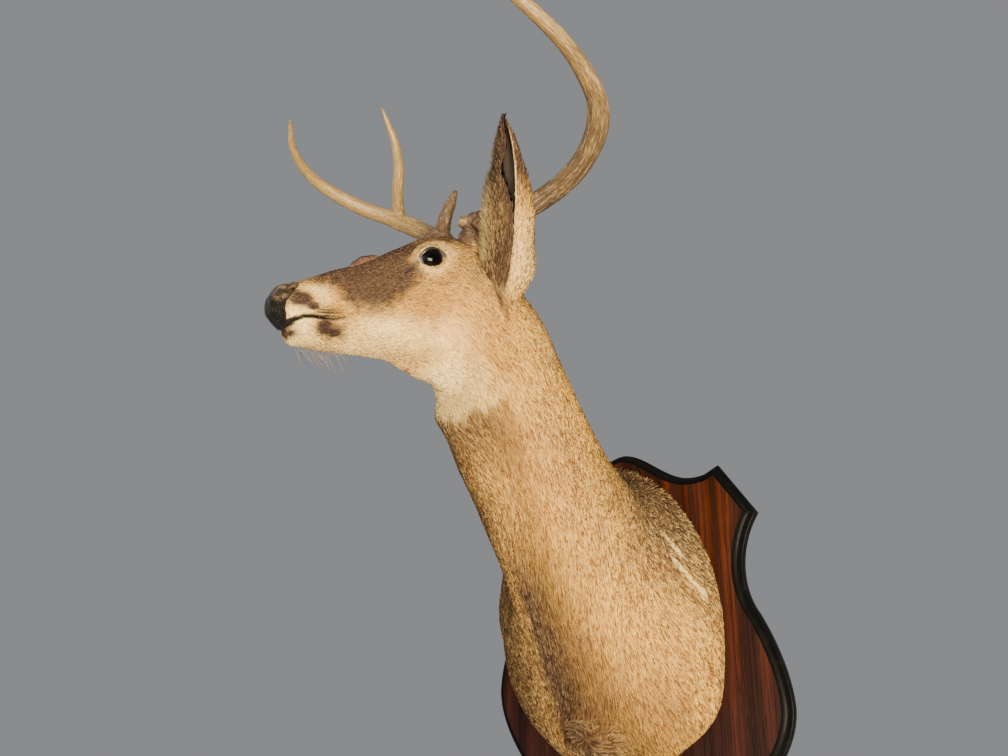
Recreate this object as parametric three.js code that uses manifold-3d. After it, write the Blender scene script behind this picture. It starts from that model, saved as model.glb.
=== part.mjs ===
// A white-tailed buck's shoulder mount on its wooden shield, life size.
// Millimetres. X runs to the deer's left, Y into the wall, Z up; the origin is the middle of the
// shield's back face. "out" is the distance from the wall, so out = -Y.
import * as THREE from "three";
import { mergeVertices } from "three/addons/utils/BufferGeometryUtils.js";
import Module from "manifold-3d";

const wasm = await Module();
wasm.setup();

// ---------- driving dimensions ----------
const GAP = 0.3; // clearance between neighbouring pieces
const RAD = Math.PI / 180;

// Shield plaque: the steps in each curve of its outline, and its routed edge as [step in from the
// outline, distance from the wall]. The last distance is the board's thickness.
const BOARD = {
  curveSteps: 6,
  edge: [[0, 0], [0, 9], [2.5, 10.5], [4, 15], [9, 18], [14, 19], [16, 21]],
};

// Half of the shield's outline from its crown down to its foot, as [x, up]. Each run has the
// handles of its curve, if it is curved, and the point where it ends.
const SHIELD_CROWN = [0, 260];
const SHIELD_RUNS = [
  { handles: [[30, 258], [52, 228]], end: [84, 220] },
  { handles: [[112, 216]], end: [131, 232] },
  { handles: [], end: [175, 168] },
  { handles: [[150, 130], [145, 80]], end: [167, 47] },
  { handles: [[182, 18], [196, -20]], end: [196, -55] },
  { handles: [[193, -120], [110, -190]], end: [0, -268] },
];

// The head's own frame sits between the eyes: forward along the face, left, and up.
const HEAD = { x: -60, out: 402, up: 370, turn: 22, nod: 13, lean: -9 };

// Shoulder and neck sections, from the board forward. Each is an oval in a plane across the body:
// centre (x, out, up), rise of the body's axis, turn, lean, height above and depth below the centre,
// half width, and the roundness of the upper and lower halves (2 is an ellipse).
const BODY_SECTIONS = [
  [0, 22, 30, 0, 0, 0, 209, 166, 127, 1.95, 2.0],
  [0, 62, 28, 3, 0, 0, 206, 166, 141, 1.9, 1.95],
  [0, 100, 36, 12, 0, 0, 190, 156, 135, 1.85, 1.85],
  [0, 140, 66, 24, 0, 0, 168, 133, 109, 1.85, 1.85],
  [0, 188, 114, 38, 0, 0, 136, 112, 87, 1.9, 1.8],
  [0, 245, 172, 47, 1, 0, 106, 88, 74, 2.0, 1.9],
  [-3, 296, 228, 51, 4, -1, 92, 77, 68, 2.1, 2.0],
  [-12, 330, 277, 42, 11, -4, 89, 74, 65, 2.1, 2.0],
];

// Head sections: top point and bottom point in the profile (forward, up), half width, roundness of
// the upper and lower halves, and how far down from the top the section is widest.
const HEAD_SECTIONS = [
  [-112, 4, -4, -119, 60, 2.2, 2.0, 0.42],
  [-78, 30, 12, -112, 60, 2.3, 1.8, 0.38],
  [-38, 43, 30, -105, 60, 2.4, 1.7, 0.34],
  [-3, 43, 47, -98, 58, 2.4, 1.6, 0.34],
  [32, 29, 64, -93, 47, 2.4, 1.6, 0.4],
  [66, 12, 82, -89, 38, 2.4, 1.7, 0.48],
  [98, 2, 105, -85, 31, 2.4, 1.9, 0.55],
  [124, -6, 127, -82, 28, 2.5, 2.0, 0.55],
  [146, -14, 148, -77, 25.5, 2.5, 2.1, 0.5],
  [160, -21, 160, -68, 20, 2.3, 2.1, 0.48],
  [169, -33, 169, -55, 10, 2.1, 2.1, 0.5],
];

// Parts of the face in the head's frame.
const EYE = { forward: 14, left: 43.5, up: 8, radius: 15.5 };
const EYE_OPENING = { forward: 15, left: 62, up: 8, length: 15, width: 11, height: 10.5 };
const BROW = { forward: 2, left: 38, up: 13, length: 31, width: 22, height: 20 };
const NOSE = { forward: 160, up: -40, length: 21, width: 21, height: 25 };
// The mouth's line as [forward, up] from in front of the lips back to the corner, and the depth and
// width of the cutting block below it.
const MOUTH = { line: [[184, -69], [148, -65], [128, -60], [103, -56]], depth: 60, width: 120 };

// Ears: the wall, how flat the cup is, how many steps run round and along it, its width and its
// slit, both by share of the length. A slit is half of its opening as an angle.
const EAR = {
  rows: 11,
  steps: 9,
  wall: 5,
  cup: 0.74,
  width: [[0, 50], [0.12, 56], [0.25, 59], [0.42, 60], [0.57, 55], [0.7, 46], [0.82, 33], [0.93, 17], [1, 3]],
  slit: [[0, 0.06], [0.3, 0.1], [0.5, 0.2], [0.8, 0.45], [1, 0.7]],
};
// Each ear's side (1 is the deer's left), its butt, bend and tip as forward, left, up, and the way
// that its slit faces.
const LEFT_EAR = {
  side: 1,
  butt: [-76, 44, -20],
  bend: [-65, 100, 57],
  tip: [-48, 105, 154],
  open: [0.45, 0.85, -0.25],
};
const RIGHT_EAR = {
  side: -1,
  butt: [-78, -42, -20],
  bend: [-130, -96, 60],
  tip: [-195, -105, 85],
  open: [0.3, -0.9, -0.3],
};

// Antlers. A branch has its route as forward, left, up, its radii by share of the length, and the
// steps along it. The bony stump under each antler ends where the burr begins.
const BRANCH_SIDES = 10;
const LEFT_STUMP = { route: [[-42, 29, 20], [-50, 36, 46]], radii: [[0, 17], [1, 15]], rows: 3 };
const RIGHT_STUMP = { route: [[-42, -29, 20], [-48, -36, 52]], radii: [[0, 17], [1, 15]], rows: 3 };
const LEFT_BEAM = {
  route: [[-50.3, 36.3, 47], [-64, 42, 60], [-112, 76, 82], [-122, 138, 105], [-98, 192, 133],
    [-45, 215, 166], [18, 211, 205], [58, 192, 236], [76, 163, 262]],
  radii: [[0, 18], [0.03, 18.5], [0.05, 13.5], [0.2, 11.8], [0.45, 11.3], [0.6, 8], [0.8, 5.6],
    [0.97, 2.6], [1, 1]],
  rows: 26,
};
const LEFT_BROW_STUB = {
  route: [[-53, 40, 50], [-41, 36, 58], [-34, 32, 62]],
  radii: [[0, 9], [0.6, 8], [1, 6]],
  rows: 5,
};
const RIGHT_BASE = {
  route: [[-48.1, -36.3, 53], [-56, -48, 64], [-88, -90, 82], [-97, -138, 105], [-75, -180, 133]],
  radii: [[0, 18], [0.04, 18.5], [0.08, 13.5], [0.5, 11.8], [1, 13]],
  rows: 14,
};
const RIGHT_FRONT_BEAM = {
  route: [[-75.2, -180.3, 133.3], [-30, -207, 155], [30, -212, 184], [64, -192, 209], [79, -163, 234]],
  radii: [[0, 12.5], [0.12, 10.6], [0.5, 8.6], [0.8, 5], [0.97, 2.4], [1, 1]],
  rows: 14,
};
const RIGHT_REAR_TINE = {
  route: [[-75, -180, 135], [-76, -178, 177], [-78, -176, 205], [-72, -172, 240], [-59, -168, 267],
    [-50, -165, 284]],
  radii: [[0, 12], [0.15, 8.4], [0.5, 7.6], [0.8, 5], [0.97, 2.2], [1, 1]],
  rows: 12,
};
const RIGHT_BROW_TINE = {
  route: [[-51, -36, 60], [-57, -32, 88], [-63, -28, 105], [-69, -24, 121]],
  radii: [[0, 11], [0.3, 9], [0.7, 7], [0.95, 3.5], [1, 2]],
  rows: 8,
};

// Steps round the body, and along each of its lengths.
const BODY_SIDES = 32;
const ROWS = { trunk: 8, neck: 11, head: 11, snout: 10 };

// ---------- frames ----------
const point = (x, out, up) => new THREE.Vector3(x, -out, up);

// Unit axes of a section: along the body, towards its back or crown, and to the deer's left.
function bodyAxes(riseDeg, turnDeg, leanDeg) {
  const [rise, turn, lean] = [riseDeg * RAD, turnDeg * RAD, leanDeg * RAD];
  const along = point(-Math.sin(turn) * Math.cos(rise), Math.cos(turn) * Math.cos(rise), Math.sin(rise));
  const level = point(Math.cos(turn), Math.sin(turn), 0);
  const upright = along.clone().cross(level);
  const left = level.clone().multiplyScalar(Math.cos(lean)).addScaledVector(upright, Math.sin(lean));
  const crown = upright.multiplyScalar(Math.cos(lean)).addScaledVector(level, -Math.sin(lean));
  return { along, left, crown };
}

const HEAD_AXES = bodyAxes(-HEAD.nod, HEAD.turn, HEAD.lean);
const HEAD_ORIGIN = point(HEAD.x, HEAD.out, HEAD.up);

function headPoint(forward, left, up) {
  return HEAD_ORIGIN.clone()
    .addScaledVector(HEAD_AXES.along, forward)
    .addScaledVector(HEAD_AXES.left, left)
    .addScaledVector(HEAD_AXES.crown, up);
}

const HEAD_MATRIX = new THREE.Matrix4()
  .makeBasis(HEAD_AXES.along, HEAD_AXES.left, HEAD_AXES.crown)
  .setPosition(HEAD_ORIGIN);

// ---------- solids ----------
function toSolid(geometry) {
  const bare = geometry.index ? geometry.clone() : geometry;
  bare.deleteAttribute("normal");
  bare.deleteAttribute("uv");
  const merged = mergeVertices(bare, 1e-4);
  return new wasm.Manifold(new wasm.Mesh({
    numProp: 3,
    vertProperties: new Float32Array(merged.attributes.position.array),
    triVerts: new Uint32Array(merged.index.array),
  }));
}

// The largest body of a solid, without the slivers that a cut can leave behind its neighbour.
function mainBody(solid) {
  return solid.decompose().reduce((best, body) => (body.volume() > best.volume() ? body : best));
}

function toGeometry(solid) {
  const mesh = solid.getMesh();
  const geometry = new THREE.BufferGeometry();
  geometry.setAttribute("position", new THREE.BufferAttribute(new Float32Array(mesh.vertProperties), 3));
  geometry.setIndex(new THREE.BufferAttribute(new Uint32Array(mesh.triVerts), 1));
  geometry.computeVertexNormals();
  return geometry;
}

// Closed skin over a row of rings that all have the same number of points, with flat ends.
function loftRings(rings) {
  const size = rings[0].length;
  const positions = [];
  const faces = [];
  rings.forEach((ring) => ring.forEach((p) => positions.push(p.x, p.y, p.z)));
  for (let row = 0; row + 1 < rings.length; row += 1) {
    for (let k = 0; k < size; k += 1) {
      const a = row * size + k;
      const b = row * size + ((k + 1) % size);
      faces.push(a, b, b + size, a, b + size, a + size);
    }
  }
  [[0, false], [rings.length - 1, true]].forEach(([row, front]) => {
    const flat = flatten(rings[row]);
    THREE.ShapeUtils.triangulateShape(flat, []).forEach(([a, b, c]) => {
      const corner = [a, b, c].map((k) => row * size + k);
      faces.push(...(front ? corner : corner.reverse()));
    });
  });
  const geometry = new THREE.BufferGeometry();
  geometry.setAttribute("position", new THREE.Float32BufferAttribute(positions, 3));
  geometry.setIndex(insideOut(positions, faces) ? faces.reverse() : faces);
  return geometry;
}

// Whether the faces enclose a negative volume, so that they point inwards.
function insideOut(positions, faces) {
  const corner = (k) => new THREE.Vector3().fromArray(positions, faces[k] * 3);
  let volume = 0;
  for (let k = 0; k < faces.length; k += 3) {
    volume += corner(k).dot(corner(k + 1).cross(corner(k + 2)));
  }
  return volume < 0;
}

// The ring's points in its own plane, counter-clockwise as the ring itself runs.
function flatten(ring) {
  const middle = ring.reduce((sum, p) => sum.add(p), new THREE.Vector3()).divideScalar(ring.length);
  const normal = new THREE.Vector3();
  ring.forEach((p, k) => {
    const next = ring[(k + 1) % ring.length];
    normal.add(p.clone().sub(middle).cross(next.clone().sub(middle)));
  });
  normal.normalize();
  const across = ring[0].clone().sub(middle).normalize();
  const upward = normal.clone().cross(across);
  return ring.map((p) => {
    const arm = p.clone().sub(middle);
    return new THREE.Vector2(arm.dot(across), arm.dot(upward));
  });
}

// ---------- smooth interpolation between sections ----------
function slopes(values) {
  const steps = values.slice(1).map((v, k) => v - values[k]);
  const inner = steps.slice(1).map((step, k) => {
    const before = steps[k];
    return before * step > 0 ? (2 * before * step) / (before + step) : 0;
  });
  return [steps[0], ...inner, steps[steps.length - 1]];
}

// Value of a column at a position between rows, without overshooting the rows' own values.
function between(values, position) {
  const row = Math.min(Math.floor(position), values.length - 2);
  const t = position - row;
  const slope = slopes(values);
  const [a, b] = [values[row], values[row + 1]];
  const rest = t * t * (3 - 2 * t);
  return a + (b - a) * rest + slope[row] * t * (1 - t) * (1 - t) - slope[row + 1] * t * t * (1 - t);
}

// ---------- the body's sections in one table ----------
function headSectionRow([topF, topU, lowF, lowU, halfWidth, upperRound, lowerRound, widest]) {
  const [dF, dU] = [topF - lowF, topU - lowU];
  const height = Math.hypot(dF, dU);
  const centre = headPoint(topF - dF * widest, 0, topU - dU * widest);
  const rise = Math.atan2(-dF, dU) / RAD - HEAD.nod;
  return [centre.x, -centre.y, centre.z, rise, HEAD.turn, HEAD.lean,
    height * widest, height * (1 - widest), halfWidth, upperRound, lowerRound];
}

const SECTIONS = [...BODY_SECTIONS, ...HEAD_SECTIONS.map(headSectionRow)];
const COLUMNS = SECTIONS[0].map((_, c) => SECTIONS.map((row) => row[c]));
const NECK_START = 4;
const HEAD_START = BODY_SECTIONS.length + 0.6;
const MUZZLE_START = BODY_SECTIONS.length + 5.4;
const NOSE_END = SECTIONS.length - 1;

// One ring of the body at a position along it, moved on by a shift and grown by a margin.
function bodyRing(position, shift, margin) {
  const [x, out, up, rise, turn, lean, high, deep, half, upperRound, lowerRound] =
    COLUMNS.map((column) => between(column, position));
  const { along, left, crown } = bodyAxes(rise, turn, lean);
  const centre = point(x, out, up).addScaledVector(along, shift);
  return Array.from({ length: BODY_SIDES }, (_, k) => {
    const angle = (2 * Math.PI * k) / BODY_SIDES;
    const [c, s] = [Math.cos(angle), Math.sin(angle)];
    const power = 2 / (s >= 0 ? upperRound : lowerRound);
    const reach = s >= 0 ? high : deep;
    return centre.clone()
      .addScaledVector(left, Math.sign(c) * Math.abs(c) ** power * (half + margin))
      .addScaledVector(crown, Math.sign(s) * Math.abs(s) ** power * (reach + margin));
  });
}

// The body between two positions, as a closed solid.
function bodyPiece(from, to, rows, { shift = 0, margin = 0 } = {}) {
  const rings = Array.from({ length: rows + 1 }, (_, k) => {
    const position = from + ((to - from) * k) / rows;
    return bodyRing(position, k === 0 ? shift : 0, margin);
  });
  return toSolid(loftRings(rings));
}

// ---------- plain shapes placed in the head's frame ----------
function ellipsoid(forward, left, up, length, width, height) {
  const geometry = new THREE.SphereGeometry(1, 16, 10);
  geometry.scale(length, width, height);
  geometry.translate(forward, left, up);
  return toSolid(geometry.applyMatrix4(HEAD_MATRIX));
}

// Everything below the mouth: a block across the head under the mouth's line, ending at its corner.
function belowMouth(margin) {
  const { line, depth, width } = MOUTH;
  const [front] = line[0];
  const [corner, cornerUp] = line[line.length - 1];
  const outline = new THREE.Shape([
    [front, cornerUp - depth],
    [corner - 4 - margin, cornerUp - depth],
    [corner - margin, cornerUp + margin],
    ...line.slice(0, -1).reverse().map(([forward, up]) => [forward, up + margin]),
  ].map(([forward, up]) => new THREE.Vector2(forward, up)));
  const geometry = new THREE.ExtrudeGeometry(outline, { depth: width, bevelEnabled: false });
  geometry.translate(0, 0, -width / 2);
  geometry.rotateX(Math.PI / 2);
  return toSolid(geometry.applyMatrix4(HEAD_MATRIX));
}

// ---------- antler branches ----------
function valueAt(pairs, share) {
  const next = Math.max(1, pairs.findIndex(([at]) => at >= share));
  const [a, from] = pairs[next - 1];
  const [b, to] = pairs[next];
  return from + ((to - from) * (share - a)) / (b - a);
}

// Rings across a smooth route in the head's frame, each as wide as its radius and a margin.
function branch({ route, radii, rows }, margin = 0) {
  const curve = new THREE.CatmullRomCurve3(route.map((spot) => headPoint(...spot)));
  const { tangents, normals, binormals } = curve.computeFrenetFrames(rows, false);
  const rings = tangents.map((_, row) => {
    const share = row / rows;
    const centre = curve.getPointAt(share);
    const radius = valueAt(radii, share) + margin;
    return Array.from({ length: BRANCH_SIDES }, (_side, k) => {
      const angle = (2 * Math.PI * k) / BRANCH_SIDES;
      return centre.clone()
        .addScaledVector(normals[row], Math.cos(angle) * radius)
        .addScaledVector(binormals[row], Math.sin(angle) * radius);
    });
  });
  return toSolid(loftRings(rings));
}

// The room that a stump takes up: longer and wider than it by a margin.
function stumpRoom({ route: [from, to], ...shape }, margin) {
  const length = Math.hypot(...to.map((v, k) => v - from[k]));
  const end = to.map((v, k) => v + ((v - from[k]) * margin) / length);
  return branch({ route: [from, end], ...shape }, margin);
}

// ---------- board ----------
// The whole outline, both halves, going round once.
function shieldOutline() {
  const half = new THREE.Path();
  half.moveTo(...SHIELD_CROWN);
  SHIELD_RUNS.forEach(({ handles, end }) => {
    if (handles.length === 2) half.bezierCurveTo(...handles.flat(), ...end);
    else if (handles.length === 1) half.quadraticCurveTo(...handles.flat(), ...end);
    else half.lineTo(...end);
  });
  const right = half.getPoints(BOARD.curveSteps)
    .filter((p, k, list) => k === 0 || p.distanceTo(list[k - 1]) > GAP);
  const left = right.slice(1, -1).reverse().map((p) => new THREE.Vector2(-p.x, p.y));
  return [...right, ...left];
}

// The outline moved inwards by a distance, each corner along its mitre.
function inset(outline, distance) {
  return outline.map((p, k) => {
    const before = outline[(k + outline.length - 1) % outline.length];
    const after = outline[(k + 1) % outline.length];
    const a = p.clone().sub(before).normalize();
    const b = after.clone().sub(p).normalize();
    const mitre = new THREE.Vector2(-a.y - b.y, a.x + b.x).normalize();
    const stretch = Math.max(0.5, mitre.y * b.x - mitre.x * b.y);
    return p.clone().addScaledVector(mitre, -distance / stretch);
  });
}

// Slab with a routed edge: a square foot, a small step, then a hollow up to the flat front.
function board() {
  const outline = shieldOutline();
  const rings = BOARD.edge.map(([step, out]) => inset(outline, step).map((p) => point(p.x, out, p.y)));
  return toSolid(loftRings(rings));
}

// ---------- ears ----------
// A cupped leaf: at each section an oval wall with a slit on its open side. The rolled front edge
// and the back edge are the slit's two lips.
function ear({ butt, bend, tip, open, side }) {
  const curve = new THREE.QuadraticBezierCurve3(headPoint(...butt), headPoint(...bend), headPoint(...tip));
  const facing = headPoint(...open).sub(HEAD_ORIGIN).normalize();
  const { rows, steps, wall, cup, slit, width } = EAR;
  const rings = Array.from({ length: rows + 1 }, (_, row) => {
    const share = row / rows;
    const centre = curve.getPoint(share);
    const tangent = curve.getTangent(share);
    const front = facing.clone().addScaledVector(tangent, -facing.dot(tangent)).normalize();
    const across = tangent.clone().cross(front).multiplyScalar(side);
    const half = valueAt(width, share) / 2;
    const thick = Math.min(wall, half * 0.45);
    const gap = valueAt(slit, share);
    const rim = (inward) => Array.from({ length: steps }, (_side, k) => {
      const angle = gap + ((2 * Math.PI - 2 * gap) * k) / (steps - 1);
      const reach = half - inward;
      return centre.clone()
        .addScaledVector(front, Math.cos(angle) * reach * cup)
        .addScaledVector(across, Math.sin(angle) * reach);
    });
    return [...rim(0), ...rim(thick).reverse()];
  });
  return toSolid(loftRings(rings));
}

// ---------- the animal ----------
// The bony rim over one eye.
function brow(side, margin = 0) {
  const { forward, left, up, length, width, height } = BROW;
  return ellipsoid(forward, side * left, up, length + margin, width + margin, height + margin);
}

// The room that the head, and the neck, take up with their clearance.
function headSpace() {
  const margin = 2 * GAP;
  return bodyPiece(HEAD_START, MUZZLE_START, ROWS.head, { margin })
    .add(stumpRoom(LEFT_STUMP, margin))
    .add(stumpRoom(RIGHT_STUMP, margin))
    .add(brow(1, margin))
    .add(brow(-1, margin));
}

function neckSpace() {
  return bodyPiece(NECK_START, HEAD_START, ROWS.neck, { margin: 2 * GAP });
}

// An eyeball and the socket that it sits in, open between the lids.
function eye(side) {
  const { forward, left, up, radius } = EYE;
  const lids = EYE_OPENING;
  const room = ellipsoid(forward, side * left, up, radius + GAP, radius + GAP, radius + GAP);
  const opening = ellipsoid(lids.forward, side * lids.left, lids.up, lids.length, lids.width, lids.height);
  return { ball: ellipsoid(forward, side * left, up, radius, radius, radius), socket: room.add(opening) };
}

function nosePad(margin) {
  const { forward, up, length, width, height } = NOSE;
  return ellipsoid(forward, 0, up, length + margin, width + margin, height + margin);
}

function fleshPieces(headRoom, neckRoom) {
  const skull = bodyPiece(HEAD_START, MUZZLE_START, ROWS.head, { shift: GAP });
  const snout = bodyPiece(MUZZLE_START, NOSE_END, ROWS.snout, { shift: GAP });
  const lips = snout.subtract(nosePad(GAP));
  const [leftEye, rightEye] = [eye(1), eye(-1)];
  const head = skull
    .add(branch(LEFT_STUMP))
    .add(branch(RIGHT_STUMP))
    .add(brow(1))
    .add(brow(-1))
    .subtract(leftEye.socket)
    .subtract(rightEye.socket);
  return {
    shoulders: bodyPiece(0, NECK_START, ROWS.trunk),
    neck: bodyPiece(NECK_START, HEAD_START, ROWS.neck, { shift: GAP }),
    head,
    muzzle: lips.subtract(belowMouth(GAP * 2)),
    lower_jaw: lips.intersect(belowMouth(0)),
    nose_pad: snout.intersect(nosePad(0)),
    eye_left: leftEye.ball,
    eye_right: rightEye.ball,
    ear_left: ear(LEFT_EAR).subtract(neckRoom).subtract(headRoom),
    ear_right: ear(RIGHT_EAR).subtract(neckRoom).subtract(headRoom),
  };
}

function antlerPieces(headRoom) {
  const rightRoom = branch(RIGHT_BASE, GAP);
  return {
    antler_left_beam: branch(LEFT_BEAM).subtract(headRoom),
    antler_left_brow_stub: branch(LEFT_BROW_STUB).subtract(branch(LEFT_BEAM, GAP)).subtract(headRoom),
    antler_right_base: branch(RIGHT_BASE).subtract(headRoom),
    antler_right_front_beam: branch(RIGHT_FRONT_BEAM).subtract(rightRoom),
    antler_right_rear_tine: branch(RIGHT_REAR_TINE).subtract(rightRoom.add(branch(RIGHT_FRONT_BEAM, GAP))),
    antler_right_brow_tine: branch(RIGHT_BROW_TINE).subtract(rightRoom).subtract(headRoom),
  };
}

// ---------- the finished group ----------
const LOOKS = {
  board: [0x6b2f1c, 0.4],
  shoulders: [0xb08a63, 0.95],
  neck: [0xb28d66, 0.95],
  head: [0xa9845c, 0.95],
  muzzle: [0xc2a27c, 0.9],
  lower_jaw: [0xd8c2a0, 0.9],
  nose_pad: [0x241f1d, 0.45],
  eye: [0x15100d, 0.05],
  ear: [0x9a7d5e, 0.95],
  antler: [0xc9b48c, 0.6],
};

const headRoom = headSpace();
const pieces = {
  board: board(),
  ...fleshPieces(headRoom, neckSpace()),
  ...antlerPieces(headRoom),
};
const group = new THREE.Group();
Object.entries(pieces).forEach(([name, solid]) => {
  const [color, roughness] = LOOKS[name] ?? LOOKS[name.split("_")[0]];
  const material = new THREE.MeshStandardMaterial({ color, roughness, metalness: 0 });
  const mesh = new THREE.Mesh(toGeometry(mainBody(solid)), material);
  mesh.name = name;
  group.add(mesh);
});

export default group;
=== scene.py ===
import math
import bpy
import numpy as np
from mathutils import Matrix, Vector


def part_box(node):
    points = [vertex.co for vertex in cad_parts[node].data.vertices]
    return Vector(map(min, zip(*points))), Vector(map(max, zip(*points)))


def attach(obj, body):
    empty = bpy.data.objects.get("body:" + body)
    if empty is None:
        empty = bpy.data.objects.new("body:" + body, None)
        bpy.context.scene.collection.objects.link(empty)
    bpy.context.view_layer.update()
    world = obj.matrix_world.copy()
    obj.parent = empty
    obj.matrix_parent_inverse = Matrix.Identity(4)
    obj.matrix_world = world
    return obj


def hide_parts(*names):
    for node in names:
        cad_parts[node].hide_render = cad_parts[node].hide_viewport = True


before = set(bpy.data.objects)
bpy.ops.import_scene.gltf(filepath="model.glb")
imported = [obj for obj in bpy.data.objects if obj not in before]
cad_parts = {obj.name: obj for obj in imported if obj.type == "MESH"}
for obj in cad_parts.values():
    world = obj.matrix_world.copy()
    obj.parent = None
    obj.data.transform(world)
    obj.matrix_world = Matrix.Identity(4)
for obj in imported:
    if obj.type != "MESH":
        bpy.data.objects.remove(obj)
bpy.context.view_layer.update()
bpy.ops.object.select_all(action="DESELECT")


# ------------------------------------------------------------------ the view
# The mount hangs high on a wall and is seen from below, past the deer's left shoulder. A big warm
# lamp stands level with it on the right, with softer ones in front, on the left and above.
def area_lamp(name, place, aim, width, height, power, colour):
    """A soft rectangular lamp that stands at a place and points at an aim."""
    bpy.ops.object.light_add(type="AREA", location=place)
    lamp = bpy.context.object
    lamp.name = name
    lamp.data.shape = "RECTANGLE"
    lamp.data.size, lamp.data.size_y = width, height
    lamp.data.energy = power
    lamp.data.color = colour
    lamp.rotation_euler = (Vector(aim) - Vector(place)).to_track_quat("-Z", "Y").to_euler()
    lamp.select_set(False)


bpy.ops.object.camera_add(location=(0.406, -0.930, -0.013))
camera = bpy.context.object
camera.data.lens = 25.86
camera.rotation_euler = [math.radians(angle) for angle in (111.25, -1.76, 33.02)]
camera.select_set(False)
bpy.context.scene.camera = camera

chest = (0.0, -0.3, 0.15)
area_lamp("lamp_right", (1.50, -1.95, -0.40), chest, 1.5, 0.8, 205, (1.0, 0.86, 0.60))
area_lamp("lamp_front", (-0.3, -2.4, 0.1), chest, 1.6, 1.6, 14, (1.0, 0.94, 0.86))
area_lamp("lamp_left", (-2.2, -1.0, 1.2), chest, 2.0, 2.0, 14, (0.94, 0.97, 1.0))
area_lamp("lamp_top", (0.3, -0.9, 2.4), chest, 1.2, 1.2, 8, (1.0, 0.98, 0.94))

world = bpy.data.worlds.new("studio")
world.use_nodes = True
world.node_tree.nodes["Background"].inputs["Color"].default_value = (0.78, 0.79, 0.82, 1)
world.node_tree.nodes["Background"].inputs["Strength"].default_value = 0.34
bpy.context.scene.world = world


class Wire:
    """An output in a material's node tree. Arithmetic on wires and numbers adds Math nodes."""

    def __init__(self, tree, socket=None):
        self.tree, self.socket = tree, socket

    def node(self, kind, settings=None, sockets=None, output=0):
        """Any node: its type, its settings, then the values or wires of its sockets."""
        new = self.tree.nodes.new("ShaderNode" + kind)
        for key, value in (settings or {}).items():
            setattr(new, key, value)
        for key, value in (sockets or {}).items():
            if isinstance(value, Wire):
                self.tree.links.new(value.socket, new.inputs[key])
            else:
                new.inputs[key].default_value = value
        return Wire(self.tree, new.outputs[output])

    def maths(self, operation, *values):
        """One sum on numbers and wires."""
        return self.node("Math", {"operation": operation}, dict(enumerate(values)))

    def __add__(self, other):
        return self.maths("ADD", self, other)

    def __sub__(self, other):
        return self.maths("SUBTRACT", self, other)

    def __rsub__(self, other):
        return self.maths("SUBTRACT", other, self)

    def __mul__(self, other):
        return self.maths("MULTIPLY", self, other)

    __radd__ = __add__
    __rmul__ = __mul__

    def place(self):
        """Where the surface lies in its own object."""
        return self.node("TexCoord", output="Object")

    def stored(self, name):
        """A number that is stored on the mesh's points."""
        return self.node("Attribute", {"attribute_name": name}, output="Fac")

    def step(self, low, high):
        """0 below low, 1 above high, and smooth between them."""
        return self.node("MapRange", {"interpolation_type": "SMOOTHSTEP"}, {0: self, 1: low, 2: high})

    def mix(self, below, above):
        """The colour below where this wire is 0, and the colour above where it is 1."""
        colours = [c if isinstance(c, Wire) else (*c, 1.0) for c in (below, above)]
        settings = {"data_type": "RGBA"}
        return self.node("Mix", settings, {0: self, 6: colours[0], 7: colours[1]}, output=2)

    def noise(self, coords, scale, detail=3.0, stretch=(1, 1, 1)):
        """Grey noise of about 0 to 1 on some coordinates, finer where stretch is larger."""
        spread = self.node("Mapping", {}, {"Vector": coords, "Scale": stretch})
        return self.node("TexNoise", {}, {"Vector": spread, "Scale": scale, "Detail": detail})

    def bump(self, height, distance, strength):
        """Normals for a relief of some height in metres."""
        return self.node("Bump", {}, {"Height": height, "Distance": distance, "Strength": strength})


def new_material(name, **constants):
    """A material, a first wire in its tree and its shader, with constants set on the shader."""
    material = bpy.data.materials.new(name)
    material.use_nodes = True
    shader = material.node_tree.nodes["Principled BSDF"]
    for socket, value in constants.items():
        shader.inputs[socket.replace("_", " ")].default_value = value
    return material, Wire(material.node_tree), shader


def feed(shader, **wires):
    """Links wires to the shader's sockets that they are named after."""
    for socket, wire in wires.items():
        shader.id_data.links.new(wire.socket, shader.inputs[socket.replace("_", " ")])


bpy.ops.mesh.primitive_circle_add(vertices=96, radius=9.0, location=(0, 0, -1.6), fill_type="NGON")
floor = bpy.context.object
floor.name = "floor"
floor.select_set(False)
floor_paint, wire, shader = new_material("pale floor", Roughness=0.9)
cloudy = wire.noise(wire.place(), 3.0)
feed(shader, Base_Color=cloudy.mix((0.80, 0.80, 0.79), (0.84, 0.84, 0.83)))
floor.data.materials.append(floor_paint)


# ------------------------------------------------------------------ the shield plaque
# One slab of flat-sawn oak, stained red-brown and varnished. Its edge is routed to a straight side,
# a bead, a hollow quarter round and a small lip, and painted gloss black. It hangs flat on the wall.
MM = 0.001
SIDE, BEAD = 8.2, 2.2
SHIELD_CROWN = (0, 260)
SHIELD_RUNS = [
    ([(30, 258), (52, 228)], (84, 220)),
    ([(112, 216)], (131, 232)),
    ([], (175, 168)),
    ([(150, 130), (145, 80)], (167, 47)),
    ([(182, 18), (196, -20)], (196, -55)),
    ([(193, -120), (110, -190)], (0, -268)),
]


def shield_half(steps=22):
    """The outline's right half from crown to foot, each run a Bezier curve on its handles."""
    points = [np.array(SHIELD_CROWN, float)]
    for handles, end in SHIELD_RUNS:
        control = np.array([points[-1], *handles, end], float)
        order = len(control) - 1
        for share in np.linspace(0, 1, steps if handles else 2)[1:]:
            weights = [math.comb(order, k) * share**k * (1 - share) ** (order - k) for k in range(order + 1)]
            points.append(np.array(weights) @ control)
    return np.array(points)


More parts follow.
